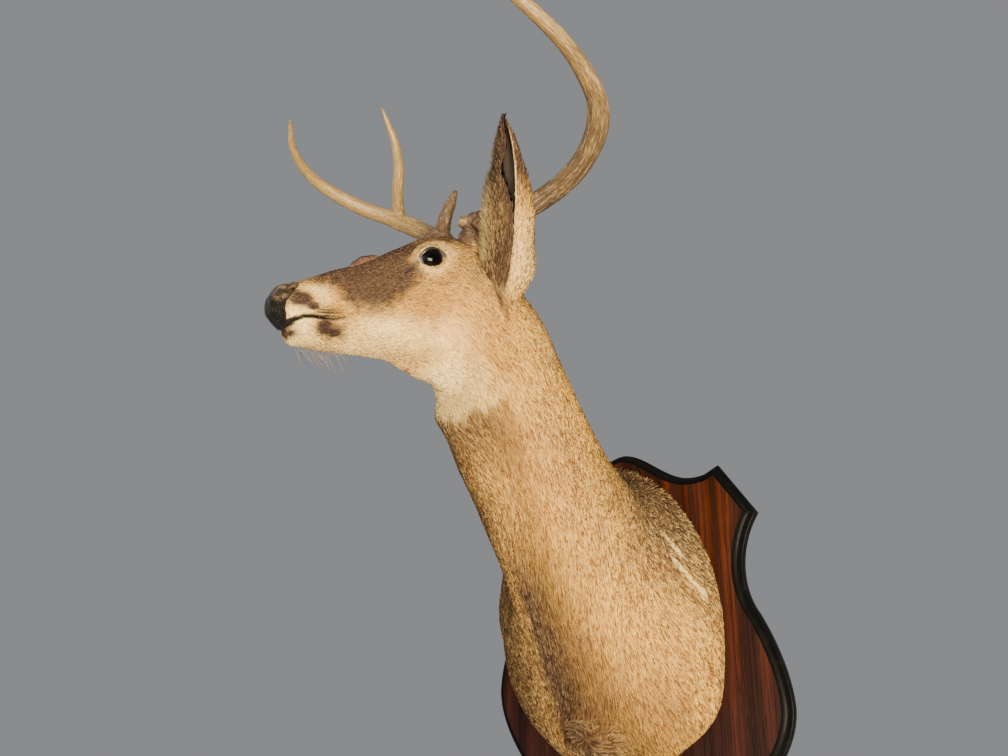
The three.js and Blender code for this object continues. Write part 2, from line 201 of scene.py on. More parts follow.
def edge_profile():
    """The routed edge as steps inwards and outwards from the one before, in millimetres."""
    quarter = np.linspace(0, math.pi / 2, 7)
    bead = [(BEAD - BEAD * math.cos(a), SIDE + BEAD * math.sin(a)) for a in quarter]
    hollow = [(2.8 + 7 * (1 - math.cos(a)), 11 + 7.6 * math.sin(a)) for a in quarter]
    lip = [(10.2, 18.7), (10.6, 20.4), (11.2, 20.9), (12.0, 21)]
    line = np.array([(0.0, SIDE), *bead[1:], *hollow, *lip])
    return np.diff(line, axis=0)


def put(name, mesh):
    """A new object of a mesh, standing at the origin."""
    thing = bpy.data.objects.new(name, mesh)
    bpy.context.collection.objects.link(thing)
    return thing


def shade_smooth(mesh):
    """Shades all of a mesh's faces smooth."""
    mesh.polygons.foreach_set("use_smooth", [True] * len(mesh.polygons))


# The outline is thinned next to its sharp corners, so that the moulding turns them in one mitre.
half = shield_half()
for corner, reach in (((131, 232), 19.0), ((175, 168), 12.5), ((0, -268), 13.0)):
    gap = np.linalg.norm(half - corner, axis=1)
    half = half[(gap < 0.01) | (gap > reach)]
outline = np.concatenate([half, half[-2:0:-1] * (-1, 1)]) * MM
plaque_mesh = bpy.data.meshes.new("plaque")
plaque_mesh.from_pydata([(x, 0, z) for x, z in outline], [], [range(len(outline))])
plaque = put("plaque", plaque_mesh)
bpy.context.view_layer.objects.active = plaque
plaque.select_set(True)
bpy.ops.object.mode_set(mode="EDIT")
bpy.ops.mesh.select_all(action="SELECT")
bpy.ops.mesh.normals_make_consistent(inside=False)
bpy.ops.mesh.extrude_region_move(TRANSFORM_OT_translate={"value": (0, -SIDE * MM, 0)})
bpy.ops.mesh.normals_make_consistent(inside=False)
for inwards, outwards in edge_profile():
    bpy.ops.mesh.inset(thickness=inwards * MM, depth=outwards * MM, use_boundary=True)
bpy.ops.object.mode_set(mode="OBJECT")
bpy.ops.object.shade_smooth_by_angle(angle=math.radians(32))
plaque.select_set(False)

GRAIN_EDGES = (0.5, 0.92)
oak, wire, shader = new_material("stained oak", Coat_Roughness=0.25, Coat_IOR=1.3, Specular_IOR_Level=0.05)
here = wire.place()
bend = wire.noise(here, 3.0, 2.0, (1, 1, 0.35))
figure = wire.noise(here, 55.0, 4.0, (1, 1, 0.035)) + bend * 0.5
streaks = wire.noise(here, 230.0, 3.0, (1, 1, 0.016))
pores = wire.noise(here, 620.0, 1.0, (1, 1, 0.03)).step(0.56, 0.66)
# Towards the bottom the board is painted a darker purple-grey instead of the red stain: a painted hazy
# reflection on the varnish.
lower = wire.node("SeparateXYZ", {}, {0: here}, output="Z").step(0.16, -0.16)
stain = figure.step(*GRAIN_EDGES).mix((0.078, 0.016, 0.004), (0.010, 0.003, 0.001))
lower_painted_haze = figure.step(*GRAIN_EDGES).mix((0.026, 0.010, 0.012), (0.008, 0.004, 0.005))
stain_and_painted_haze = (lower * 0.75).mix(stain, lower_painted_haze)
grained = (streaks.step(0.46, 0.62) * 0.8).mix(stain_and_painted_haze, (0.020, 0.008, 0.006))
feed(
    shader,
    Base_Color=(pores * 0.7).mix(grained, (0.010, 0.005, 0.004)),
    Roughness=streaks * 0.2 + 0.38,
    Coat_Weight=0.04 - pores * 0.04,
    Normal=wire.bump(1 - pores * 0.8 - streaks * 0.35, 0.0006, 0.8),
)
black, wire, shader = new_material(
    "black edge paint", Coat_Roughness=0.12, Coat_IOR=1.3, Specular_IOR_Level=0.04
)
here = wire.place()
dust = wire.noise(here, 55.0, 4.0)
feed(
    shader,
    Base_Color=(dust.step(0.5, 0.8) * 0.5).mix((0.003, 0.003, 0.003), (0.010, 0.009, 0.008)),
    Roughness=dust * 0.25 + 0.25,
    Coat_Weight=0.04 - dust * 0.03,
    Normal=wire.bump(wire.noise(here, 240.0, 2.0), 0.0004, 0.25),
)
plaque.data.materials.append(oak)
plaque.data.materials.append(black)
BROAD_FACE = 0.01  # square metres: only the front and the back are as large
for face in plaque.data.polygons:
    face.material_index = 0 if face.area > BROAD_FACE else 1
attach(plaque, "root")
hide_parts("board")


# ------------------------------------------------------------------ the hide over its form
# One tanned hide from the shoulders to the nose, drawn over a filled form and glued down. It is
# lofted here through ovals across the body, and lies under the hair tips by the coat's depth.
# Each oval: centre x, out from the wall, up; rise, turn, lean; height above and depth below the
# centre, half width, roundness of the upper and lower halves (2 is an ellipse).
BODY_SECTIONS = [
    (0, 22, 30, 0, 0, 0, 209, 166, 127, 1.95, 2.0),
    (0, 62, 28, 3, 0, 0, 206, 166, 141, 1.9, 1.95),
    (0, 100, 36, 12, 0, 0, 190, 156, 135, 1.85, 1.85),
    (0, 140, 66, 24, 0, 0, 168, 133, 109, 1.85, 1.85),
    (0, 188, 114, 38, 0, 0, 136, 112, 87, 1.9, 1.8),
    (0, 245, 172, 47, 1, 0, 106, 88, 74, 2.0, 1.9),
    (-3, 296, 228, 51, 4, -1, 92, 77, 68, 2.1, 2.0),
    (-12, 330, 277, 42, 11, -4, 89, 74, 65, 2.1, 2.0),
]
# The head's own frame lies between the eyes: forward along the face, left, and up.
HEAD = {"x": -60, "out": 402, "up": 370, "turn": 22, "nod": 13, "lean": -9}
# Each oval of the head: its top and bottom in the profile (forward, up), half width, roundness of
# the upper and lower halves, and how far down from the top it is widest.
HEAD_SECTIONS = [
    (-112, 4, -4, -119, 60, 2.2, 2.0, 0.42),
    (-78, 30, 12, -112, 60, 2.3, 1.8, 0.38),
    (-38, 43, 30, -105, 60, 2.4, 1.7, 0.34),
    (-3, 43, 47, -98, 58, 2.4, 1.6, 0.34),
    (32, 29, 64, -93, 47, 2.4, 1.6, 0.4),
    (66, 12, 82, -89, 38, 2.4, 1.7, 0.48),
    (98, 0.5, 105, -85, 31, 2.4, 1.9, 0.55),
    (124, -10, 127, -82, 28, 2.5, 2.0, 0.55),
    (146, -19, 148, -77, 25.5, 2.5, 2.1, 0.5),
    (160, -23.5, 160, -68, 20, 2.3, 2.1, 0.48),
    (169, -33, 169, -55, 10, 2.1, 2.1, 0.5),
]


def unit(vectors):
    """The vectors at length 1."""
    return vectors / np.maximum(np.linalg.norm(vectors, axis=-1, keepdims=True), 1e-9)


def dot(a, b):
    """Each vector's scalar product with its fellow, as a column."""
    return (a * b).sum(-1, keepdims=True)


def ease(values, low, high):
    """0 below low, 1 above high, and smooth between them."""
    share = np.clip((values - low) / (high - low), 0, 1)
    return share * share * (3 - 2 * share)


def body_axes(rise, turn, lean):
    """Unit vectors along the body, to the deer's left and towards its crown, from degrees."""
    rise, turn, lean = (np.radians(np.asarray(angle, float))[..., None] for angle in (rise, turn, lean))
    x, y, z = np.eye(3)
    along = -np.sin(turn) * np.cos(rise) * x - np.cos(turn) * np.cos(rise) * y + np.sin(rise) * z
    level = np.cos(turn) * x - np.sin(turn) * y
    upright = np.cross(along, level)
    left = level * np.cos(lean) + upright * np.sin(lean)
    return along, left, upright * np.cos(lean) - level * np.sin(lean)


HEAD_AXES = np.stack(body_axes(-HEAD["nod"], HEAD["turn"], HEAD["lean"]))
HEAD_ORIGIN = np.array([HEAD["x"], -HEAD["out"], HEAD["up"]], float)


def from_head(spots):
    """Row-frame millimetres of places given as forward, left, up in the head."""
    return HEAD_ORIGIN + np.asarray(spots, float) @ HEAD_AXES


def to_head(places):
    """Forward, left and up in the head, of places in the row's frame in millimetres."""
    return (places - HEAD_ORIGIN) @ HEAD_AXES.T


def head_row(top_f, top_u, low_f, low_u, half, upper, lower, widest):
    """A section of the head written like one of the body's."""
    across = (top_f - low_f, top_u - low_u)
    height = math.hypot(*across)
    centre = from_head((top_f - across[0] * widest, 0, top_u - across[1] * widest))
    rise = math.degrees(math.atan2(-across[0], across[1])) - HEAD["nod"]
    place = (centre[0], -centre[1], centre[2], rise, HEAD["turn"], HEAD["lean"])
    return (*place, height * widest, height * (1 - widest), half, upper, lower)


SECTIONS = np.array([*BODY_SECTIONS, *(head_row(*row) for row in HEAD_SECTIONS)], float)
HEAD_BASE = len(BODY_SECTIONS)
NOSE_TIP = len(SECTIONS) - 1


def section_at(position):
    """The section's values at positions along the body, smooth and without overshoot."""
    steps = np.diff(SECTIONS, axis=0)
    before, after = steps[:-1], steps[1:]
    same = before * after > 0
    middle = np.where(same, 2 * before * after / np.where(same, before + after, 1), 0)
    slopes = np.concatenate([steps[:1], middle, steps[-1:]])
    position = np.asarray(position, float)
    row = np.clip(position.astype(int), 0, len(steps) - 1)
    t = (position - row)[..., None]
    rest = t * t * (3 - 2 * t)
    swing = slopes[row] * t * (1 - t) ** 2 - slopes[row + 1] * t * t * (1 - t)
    return SECTIONS[row] + steps[row] * rest + swing


def signed_power(values, power):
    """The values' sizes to a power, with their signs kept."""
    return np.sign(values) * np.abs(values) ** power


def body_rings(positions, angles):
    """Points on the outline of the coat, one ring per position and one point per angle."""
    s = section_at(positions)[:, None, :]
    _, left, crown = body_axes(s[..., 3], s[..., 4], s[..., 5])
    centre = s[..., :3] * (1, -1, 1)
    c, v = np.cos(angles)[None, :], np.sin(angles)[None, :]
    power = 2 / np.where(v >= 0, s[..., 9], s[..., 10])
    reach = np.where(v >= 0, s[..., 6], s[..., 7])
    sideways = signed_power(c, power) * s[..., 8]
    upwards = signed_power(v, power) * reach
    return centre + sideways[..., None] * left + upwards[..., None] * crown


def spaced(low, high, spacing, samples=900):
    """Values from low to high, closer where spacing(value) is smaller."""
    fine = np.linspace(low, high, samples)
    cost = np.concatenate([[0], np.cumsum(np.diff(fine) / spacing((fine[1:] + fine[:-1]) / 2))])
    return np.interp(np.linspace(0, cost[-1], int(cost[-1]) + 1), cost, fine)


def ring_travel(positions):
    """How far the rings move for each whole position, in millimetres."""
    little = 0.01
    positions = np.minimum(positions, NOSE_TIP - little)
    centres = section_at(positions)[:, :3]
    ahead = section_at(positions + little)[:, :3]
    return np.maximum(np.linalg.norm(ahead - centres, axis=1) / little, 25)


# How far apart the rings lie, and how deep the coat is, by position along the body.
MESH_STEP = [
    [0, 7.0], [5, 6.0], [8, 3.0], [10, 1.6], [10.8, 1.05], [12.3, 1.05], [13.2, 1.35], [18, 1.05],
]
COAT_DEPTH = [
    [0, 7.0], [4, 6.5], [7, 5.0], [8.5, 3.2], [10, 2.4], [12, 1.9], [14, 1.2], [15.5, 0.9], [18, 0.6],
]


def along_table(table, positions):
    """The values that a table of (position, value) gives between its rows."""
    return np.interp(positions, *np.transpose(table))


def turn_step(turns):
    """The step round a ring in radians: smaller where the eyes lie."""
    eye_turns = np.radians([33, 147])
    return 0.0245 - 0.0115 * np.exp(-(((turns[:, None] - eye_turns) / 0.42) ** 2)).sum(1)


positions = spaced(0, NOSE_TIP, lambda p: along_table(MESH_STEP, p) / ring_travel(p))
angles = spaced(-math.pi / 2, 1.5 * math.pi, turn_step)[:-1]
outer = body_rings(positions, angles)
# The hide spans the hollow where the neck turns into the jaw, without a crease.
SPAN_PASSES, SPAN_PULL = 60, 0.6
spanned = (ease(positions, 6.7, 7.7) * ease(positions, 9.7, 8.8))[1:-1, None, None]
for _ in range(SPAN_PASSES):
    outer[1:-1] += ((outer[:-2] + outer[2:]) / 2 - outer[1:-1]) * SPAN_PULL * spanned


def grid_frame(points):
    """Unit normals pointing out and unit vectors along, at each point of a closed grid of rings,
    and whether the grid's own winding points out."""
    round_step = np.roll(points, -1, 1) - np.roll(points, 1, 1)
    along_step = np.gradient(points, axis=0)
    facing = np.cross(round_step, along_step)
    outwards = bool((facing * (points - points.mean((0, 1)))).sum() > 0)
    return unit(facing) * (1 if outwards else -1), unit(along_step), outwards


# The throat is tucked up behind the jaw, and the front of the neck below it is full.
normals, _, _ = grid_frame(outer)
TUCK, FULLNESS = 6.0, 4.0
tucked = TUCK * ease(positions, 7.1, 7.7) * ease(positions, 9.6, 7.8)
full = FULLNESS * ease(positions, 5.0, 5.8) * ease(positions, 7.3, 6.8)
under = ease(-np.sin(angles), 0.55, 0.95)
front = ease(-np.sin(angles), 0.1, 0.6)
outer += normals * (full[:, None] * front - tucked[:, None] * under)[..., None]
# Soft swellings and hollows of the shoulders: degrees round the body, position along it, their two
# reaches, and how far out. The brisket's hollow is on the right, where the legs were cut away.
SHOULDER_FORM = [
    (70, 0, 28, 1.2, -9),
    (-32, 0.4, 16, 1.2, 9),
    (212, 4.2, 28, 0.5, -16),
    (210, 3.4, 16, 0.4, 4),
]
for turned, placed, turned_reach, placed_reach, lift in SHOULDER_FORM:
    off_place = (positions[:, None] - placed) / placed_reach
    off_turn = (np.degrees(angles) - turned) / turned_reach
    outer += normals * (np.exp(-(off_place**2) - off_turn**2) * lift)[..., None]
normals, forwards, winds_out = grid_frame(outer)
depth = along_table(COAT_DEPTH, positions)[:, None, None]
hide = outer - normals * depth
position_of = np.repeat(positions[:, None], len(angles), 1)
angle_of = np.repeat(angles[None, :], len(positions), 0)

# Face details, in millimetres in the head's frame. The glass eyes' own nodes give their places.
eye_boxes = [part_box(node) for node in ("eye_left", "eye_right")]
EYE_CENTRES = [to_head(np.array((low + high) / 2) / MM) for low, high in eye_boxes]
EYE_RADIUS = (eye_boxes[0][1].z - eye_boxes[0][0].z) / 2 / MM
GAZE = unit(np.array([0.20, 0.97, -0.04]))
# The lids' opening, as shares of the eyeball's radius: its half length, its two half heights, how far
# back it lies; and its tilt in radians and its roundness (2 is an ellipse).
LID_LENGTH, UPPER_LID, LOWER_LID, LID_BACK = 0.885, 0.66, 0.58, 0.055
LID_TILT, LID_ROUND = -0.10, 1.9


def mirrored(spot, side):
    """A spot of the left side, moved to the right one where side is -1."""
    return np.array(spot, float) * (1, side, 1)


def swell(head, centre, radii, softness):
    """Pushes what lies inside an ellipsoid out to its surface, with a soft edge."""
    arm = (head - centre) / radii
    reach = np.linalg.norm(arm, axis=-1, keepdims=True)
    raised = 0.5 * (reach + 1 + np.sqrt((reach - 1) ** 2 + softness**2)) - softness / 2 * 0.35
    return np.where(reach < 1 + 2 * softness, centre + (head - centre) * raised / reach, head)


def mound(head, facing, spot, reach, lift):
    """Raises (or lowers) a soft round place."""
    fall = np.exp(-((((head - spot) / reach) ** 2).sum(-1, keepdims=True)))
    return head + facing * fall * lift


def off_line(head, line, side):
    """Distance in the profile from a line of (forward, up) points on one side of the head, and the
    share along it."""
    flat = head[..., (0, 2)]
    best = np.full(head.shape[:-1], 1e6)
    share = np.zeros_like(best)
    points = np.array(line, float)
    for k, (start, end) in enumerate(zip(points[:-1], points[1:])):
        run = end - start
        t = np.clip(((flat - start) @ run) / (run @ run), 0, 1)
        gap = np.linalg.norm(flat - start - t[..., None] * run, axis=-1)
        share = np.where(gap < best, (k + t) / (len(points) - 1), share)
        best = np.minimum(best, gap)
    best = np.where(head[..., 1] * side > 0, best, 1e6)
    return best[..., None], share[..., None]


def crease(head, facing, line, side, width, lift):
    """A fold along a line, fading at its ends: a furrow where lift is negative."""
    gap, share = off_line(head, line, side)
    fade = np.sin(np.pi * np.clip(share * 0.94 + 0.03, 0, 1)) ** 0.6
    return head + facing * np.exp(-((gap / width) ** 2)) * lift * fade


BEHIND_THE_EYE = 9.0


def lid_height(ahead, over):
    """The upper lid is arched most behind its middle, and the lower one hangs in front of it."""
    upper = UPPER_LID * (1 - 0.22 * ease(ahead, 0.1, LID_LENGTH))
    return np.where(over > 0, upper, LOWER_LID * (1 + 0.18 * np.clip(ahead, -1, 1)))


def eye_axes(side):
    """Unit vectors towards the front corner of one eye, up across its lids and out, and its centre."""
    gaze = mirrored(GAZE, side)
    front = unit(np.cross((0, 0, 1.0), gaze)) * -side
    front = front * math.cos(LID_TILT) + np.array([0, 0, 1.0]) * math.sin(LID_TILT)
    above = unit(np.cross(front, gaze)) * side
    return front, above, gaze, EYE_CENTRES[0 if side > 0 else 1]


def eye_plane(head, side):
    """Place before the eyeball: towards its front corner and upwards, as shares of its radius,
    distance from its centre, and how far beyond the lids' edge (1 is on the edge)."""
    front, above, gaze, centre = eye_axes(side)
    arm = head - centre
    distance = np.linalg.norm(arm, axis=-1)
    ahead, over, towards = arm @ front / EYE_RADIUS + LID_BACK, arm @ above / EYE_RADIUS, arm @ gaze
    tall = lid_height(ahead, over)
    edge = (np.abs(ahead) / LID_LENGTH) ** LID_ROUND + (np.abs(over) / tall) ** LID_ROUND
    return ahead, over, distance, np.where(towards > 0, edge ** (1 / LID_ROUND), BEHIND_THE_EYE)


# Lines of the face in the profile, as (forward, up), and the nose pad's edge as [up, forward].
MOUTH_LINE = [
    (180, -66), (163, -64.5), (150.5, -58.5), (142.4, -55), (134, -54.7), (122.6, -56), (112.9, -56.5),
    (103, -55),
]
TEAR_LINE = [(29, 4), (36, -2), (45, -9)]
POUCH_LINE = [(30, -9), (24, -16), (14, -20.5), (4, -19.5), (-4, -13)]
BROW_FOLD = [(31, 16), (22, 25), (8, 29), (-8, 24), (-14, 14)]
EAR_FOLD = [(-44, 6), (-50, -4), (-57, -18), (-64, -32), (-70, -50)]
NOSTRIL = np.array([150.0, 23.0, -29.5])
PAD_EDGE = [
    [-76, 160], [-68, 155], [-62, 154], [-56, 156.5], [-48, 158.5], [-40, 157], [-34, 152.5],
    [-28, 147], [-20, 143], [-12, 145],
]


def past_pad_edge(head):
    """How far in front of the nose pad's edge a place lies."""
    return head[..., 0] - along_table(PAD_EDGE, head[..., 2])


def pad_cover(head):
    """1 on the bare nose pad and 0 in the hair behind it."""
    return ease(past_pad_edge(head), -0.8, 0.8)


def slope_lip(head):
    """The upper lip's front slopes back below the nose."""
    blunt = np.maximum(head[..., 0] - 158, 0) * 0.25
    back = blunt + 10.0 * ease(head[..., 2], -48, -72) * ease(head[..., 0], 142, 162)
    return head - np.array([1.0, 0, 0]) * back[..., None]


def sculpt(head, facing):
    """The muscles, bones and folds of the face, laid over the plain loft."""
    for side in (1, -1):
        for spot, reach, lift in (
            ((-28, 56, -42), (26, 30, 30), 3.2),  # jaw muscle
            ((48, 40, -52), (24, 30, 14), -2.6),  # hollow of the cheek
            ((40, 45, -24), (30, 20, 8), 1.6),  # cheek bone
            ((72, 30, -8), (26, 16, 12), -1.2),  # side of the bridge
            ((-44, 52, 14), (14, 20, 12), -3.0),  # temple
            ((99, 30, -48.5), (5.5, 11, 5), 3.2),  # corner of the mouth
            ((140, 24, -46), (13, 14, 8), 1.5),  # upper lip
            ((133, 20, -67), (16, 14, 7), 0.8),  # lower lip
            ((150, 18, -70), (7, 12, 6), 1.0),  # chin
            ((-72, 48, -14), (20, 18, 26), 4.0),  # root of the ear
            ((40, 12, -96), (46, 26, 16), -4.0),  # hollow between the jaw bones
            ((-30, 12, 44), (22, 20, 14), 4.5),  # hair raised before the antlers
        ):
            head = mound(head, facing, mirrored(spot, side), reach, lift)
        head = swell(head, mirrored((2, 38, 13), side), (28.5, 19.5, 17.5), 0.16)
        head = swell(head, mirrored((-47, 33, 31), side), (16, 16, 15), 0.3)
        _, _, distance, edge = eye_plane(head, side)
        centre = EYE_CENTRES[0 if side > 0 else 1]
        lid = EYE_RADIUS + 1.7 + 0.7 * np.exp(-(((edge - 1.1) / 0.12) ** 2))
        near = np.clip(1.9 - edge, 0, 1)[..., None]
        raised = centre + (head - centre) * (np.maximum(distance, lid) / distance)[..., None]
        head = head + (raised - head) * ease(near, 0, 0.75)
        sunk = ease(edge, 1.02, 0.93)[..., None] * (distance < EYE_RADIUS + 9)[..., None]
        arm = head - centre
        inner = centre + arm * ((EYE_RADIUS - 4.5) / np.linalg.norm(arm, axis=-1))[..., None]
        head = head + (inner - head) * sunk
        outside = ease(edge, 1.0, 1.25)[..., None]
        for line, width, lift in (
            (TEAR_LINE, 2.0, -2.2),
            (POUCH_LINE, 1.5, -1.5),
            ([(f, u + 4.0) for f, u in POUCH_LINE], 2.6, 0.8),
            (BROW_FOLD, 1.6, -1.1),
        ):
            head = head + (crease(head, facing, line, side, width, lift) - head) * outside
        head = crease(head, facing, EAR_FOLD, side, 3.0, -2.6)
        head = crease(head, facing, MOUTH_LINE, side, 1.7, -3.8)
        head = crease(head, facing, [(f, u + 4.0) for f, u in MOUTH_LINE], side, 2.4, 1.5)
        head = crease(head, facing, [(f, u - 3.6) for f, u in MOUTH_LINE], side, 2.0, 1.0)
        for k in range(3):
            wrinkle = [(130 - 2 * k, -52.4 + 2.3 * k), (121, -52.8 + 2.3 * k), (112 + k, -53.2 + 2.3 * k)]
            head = crease(head, facing, wrinkle, side, 0.9, -1.1)
    return slope_lip(head)


FACE_FROM, FACE_WHOLE = HEAD_BASE - 0.5, HEAD_BASE + 0.6
face_rows = positions > FACE_FROM
face = to_head(hide[face_rows])
facing = normals[face_rows] @ HEAD_AXES.T
face = sculpt(face, facing)
# The hide draws back where the nose pad sits on it.
face = face - facing * (ease(past_pad_edge(face), 0.5, 3.5) * 7.0)[..., None]
onset = ease(positions[face_rows], FACE_FROM, FACE_WHOLE)[:, None, None]
hide[face_rows] += (from_head(face) - hide[face_rows]) * onset


def grid_mesh(name, grid, ends=True, outwards=True):
    """A mesh object over a closed grid of rings in millimetres, with its two ends closed."""
    rows, count = grid.shape[:2]
    first = np.arange(rows - 1)[:, None] * count
    here, beside = np.arange(count)[None, :], (np.arange(count)[None, :] + 1) % count
    quads = np.stack([first + here, first + beside, first + count + beside, first + count + here], -1)
    quads = quads.reshape(-1, 4)
    faces = (quads if outwards else quads[:, ::-1]).tolist()
    if ends:
        back, front = list(range(count))[::-1], list(range((rows - 1) * count, rows * count))
        faces += [back, front] if outwards else [back[::-1], front[::-1]]
    mesh = bpy.data.meshes.new(name)
    mesh.from_pydata((grid.reshape(-1, 3) * MM).tolist(), [], faces)
    shade_smooth(mesh)
    return put(name, mesh)


def points_of(thing):
    """A mesh's points as an array of places in metres."""
    flat = np.empty(len(thing.data.vertices) * 3, np.float32)
    thing.data.vertices.foreach_get("co", flat)
    return flat.reshape(-1, 3).astype(float)


def paint(thing, tones):
    """Stores named numbers on a mesh's points for its material to read."""
    for name, values in tones.items():
        layer = thing.data.attributes.new(name, "FLOAT", "POINT")
        layer.data.foreach_set("value", np.ascontiguousarray(values, np.float32).ravel())


def bake_map(thing, spots):
    """The unwrap that the closing bake draws on, from one (u, v) for each corner of the mesh."""
    layer = thing.data.uv_layers.new(name="OFBake")
    layer.data.foreach_set("uv", np.ascontiguousarray(spots, np.float32).ravel())


def within(values, centre, reach):
    """1 at a centre, falling softly to 0 at about one and a half times the reach."""
    return np.exp(-((((values - centre) / reach) ** 2).sum(-1)))


def off_segment(places, start, end):
    """Distance from a straight line between two places, in millimetres."""
    start, run = np.array(start, float), np.array(end, float) - start
    t = np.clip(((places - start) @ run) / (run @ run), 0, 1)
    return np.linalg.norm(places - start - t[..., None] * run, axis=-1)


def snap(spot, places):
    """The one of many places that is nearest to a spot."""
    flat = places.reshape(-1, 3)
    return flat[((flat - spot) ** 2).sum(1).argmin()]


# Parted hair on the near shoulder, where pale skin shows: each part's two ends.
PARTINGS = [((86, -115, 133), (102, -104, 111)), ((98, -118, 104), (127, -94, 65))]
# The lower edge of the brown on the bridge of the nose, as [forward, up].
BROWN_EDGE = [
    [8, 16], [20, 0], [45, -30], [60, -47], [75, -51], [95, -45], [112, -31], [124, -22], [140, -16],
]


def ripple(places, size, turn):
    """A wandering number from -1 to 1 that varies over about a size in millimetres."""
    x, y, z = (places[..., k] / size for k in range(3))
    return np.sin(x + 1.7 * np.sin(z * 0.8 + turn)) * np.sin(z * 0.9 + turn + 1.3 * np.sin(y * 1.1))


TONES = ("pale", "brown", "grey", "bare")


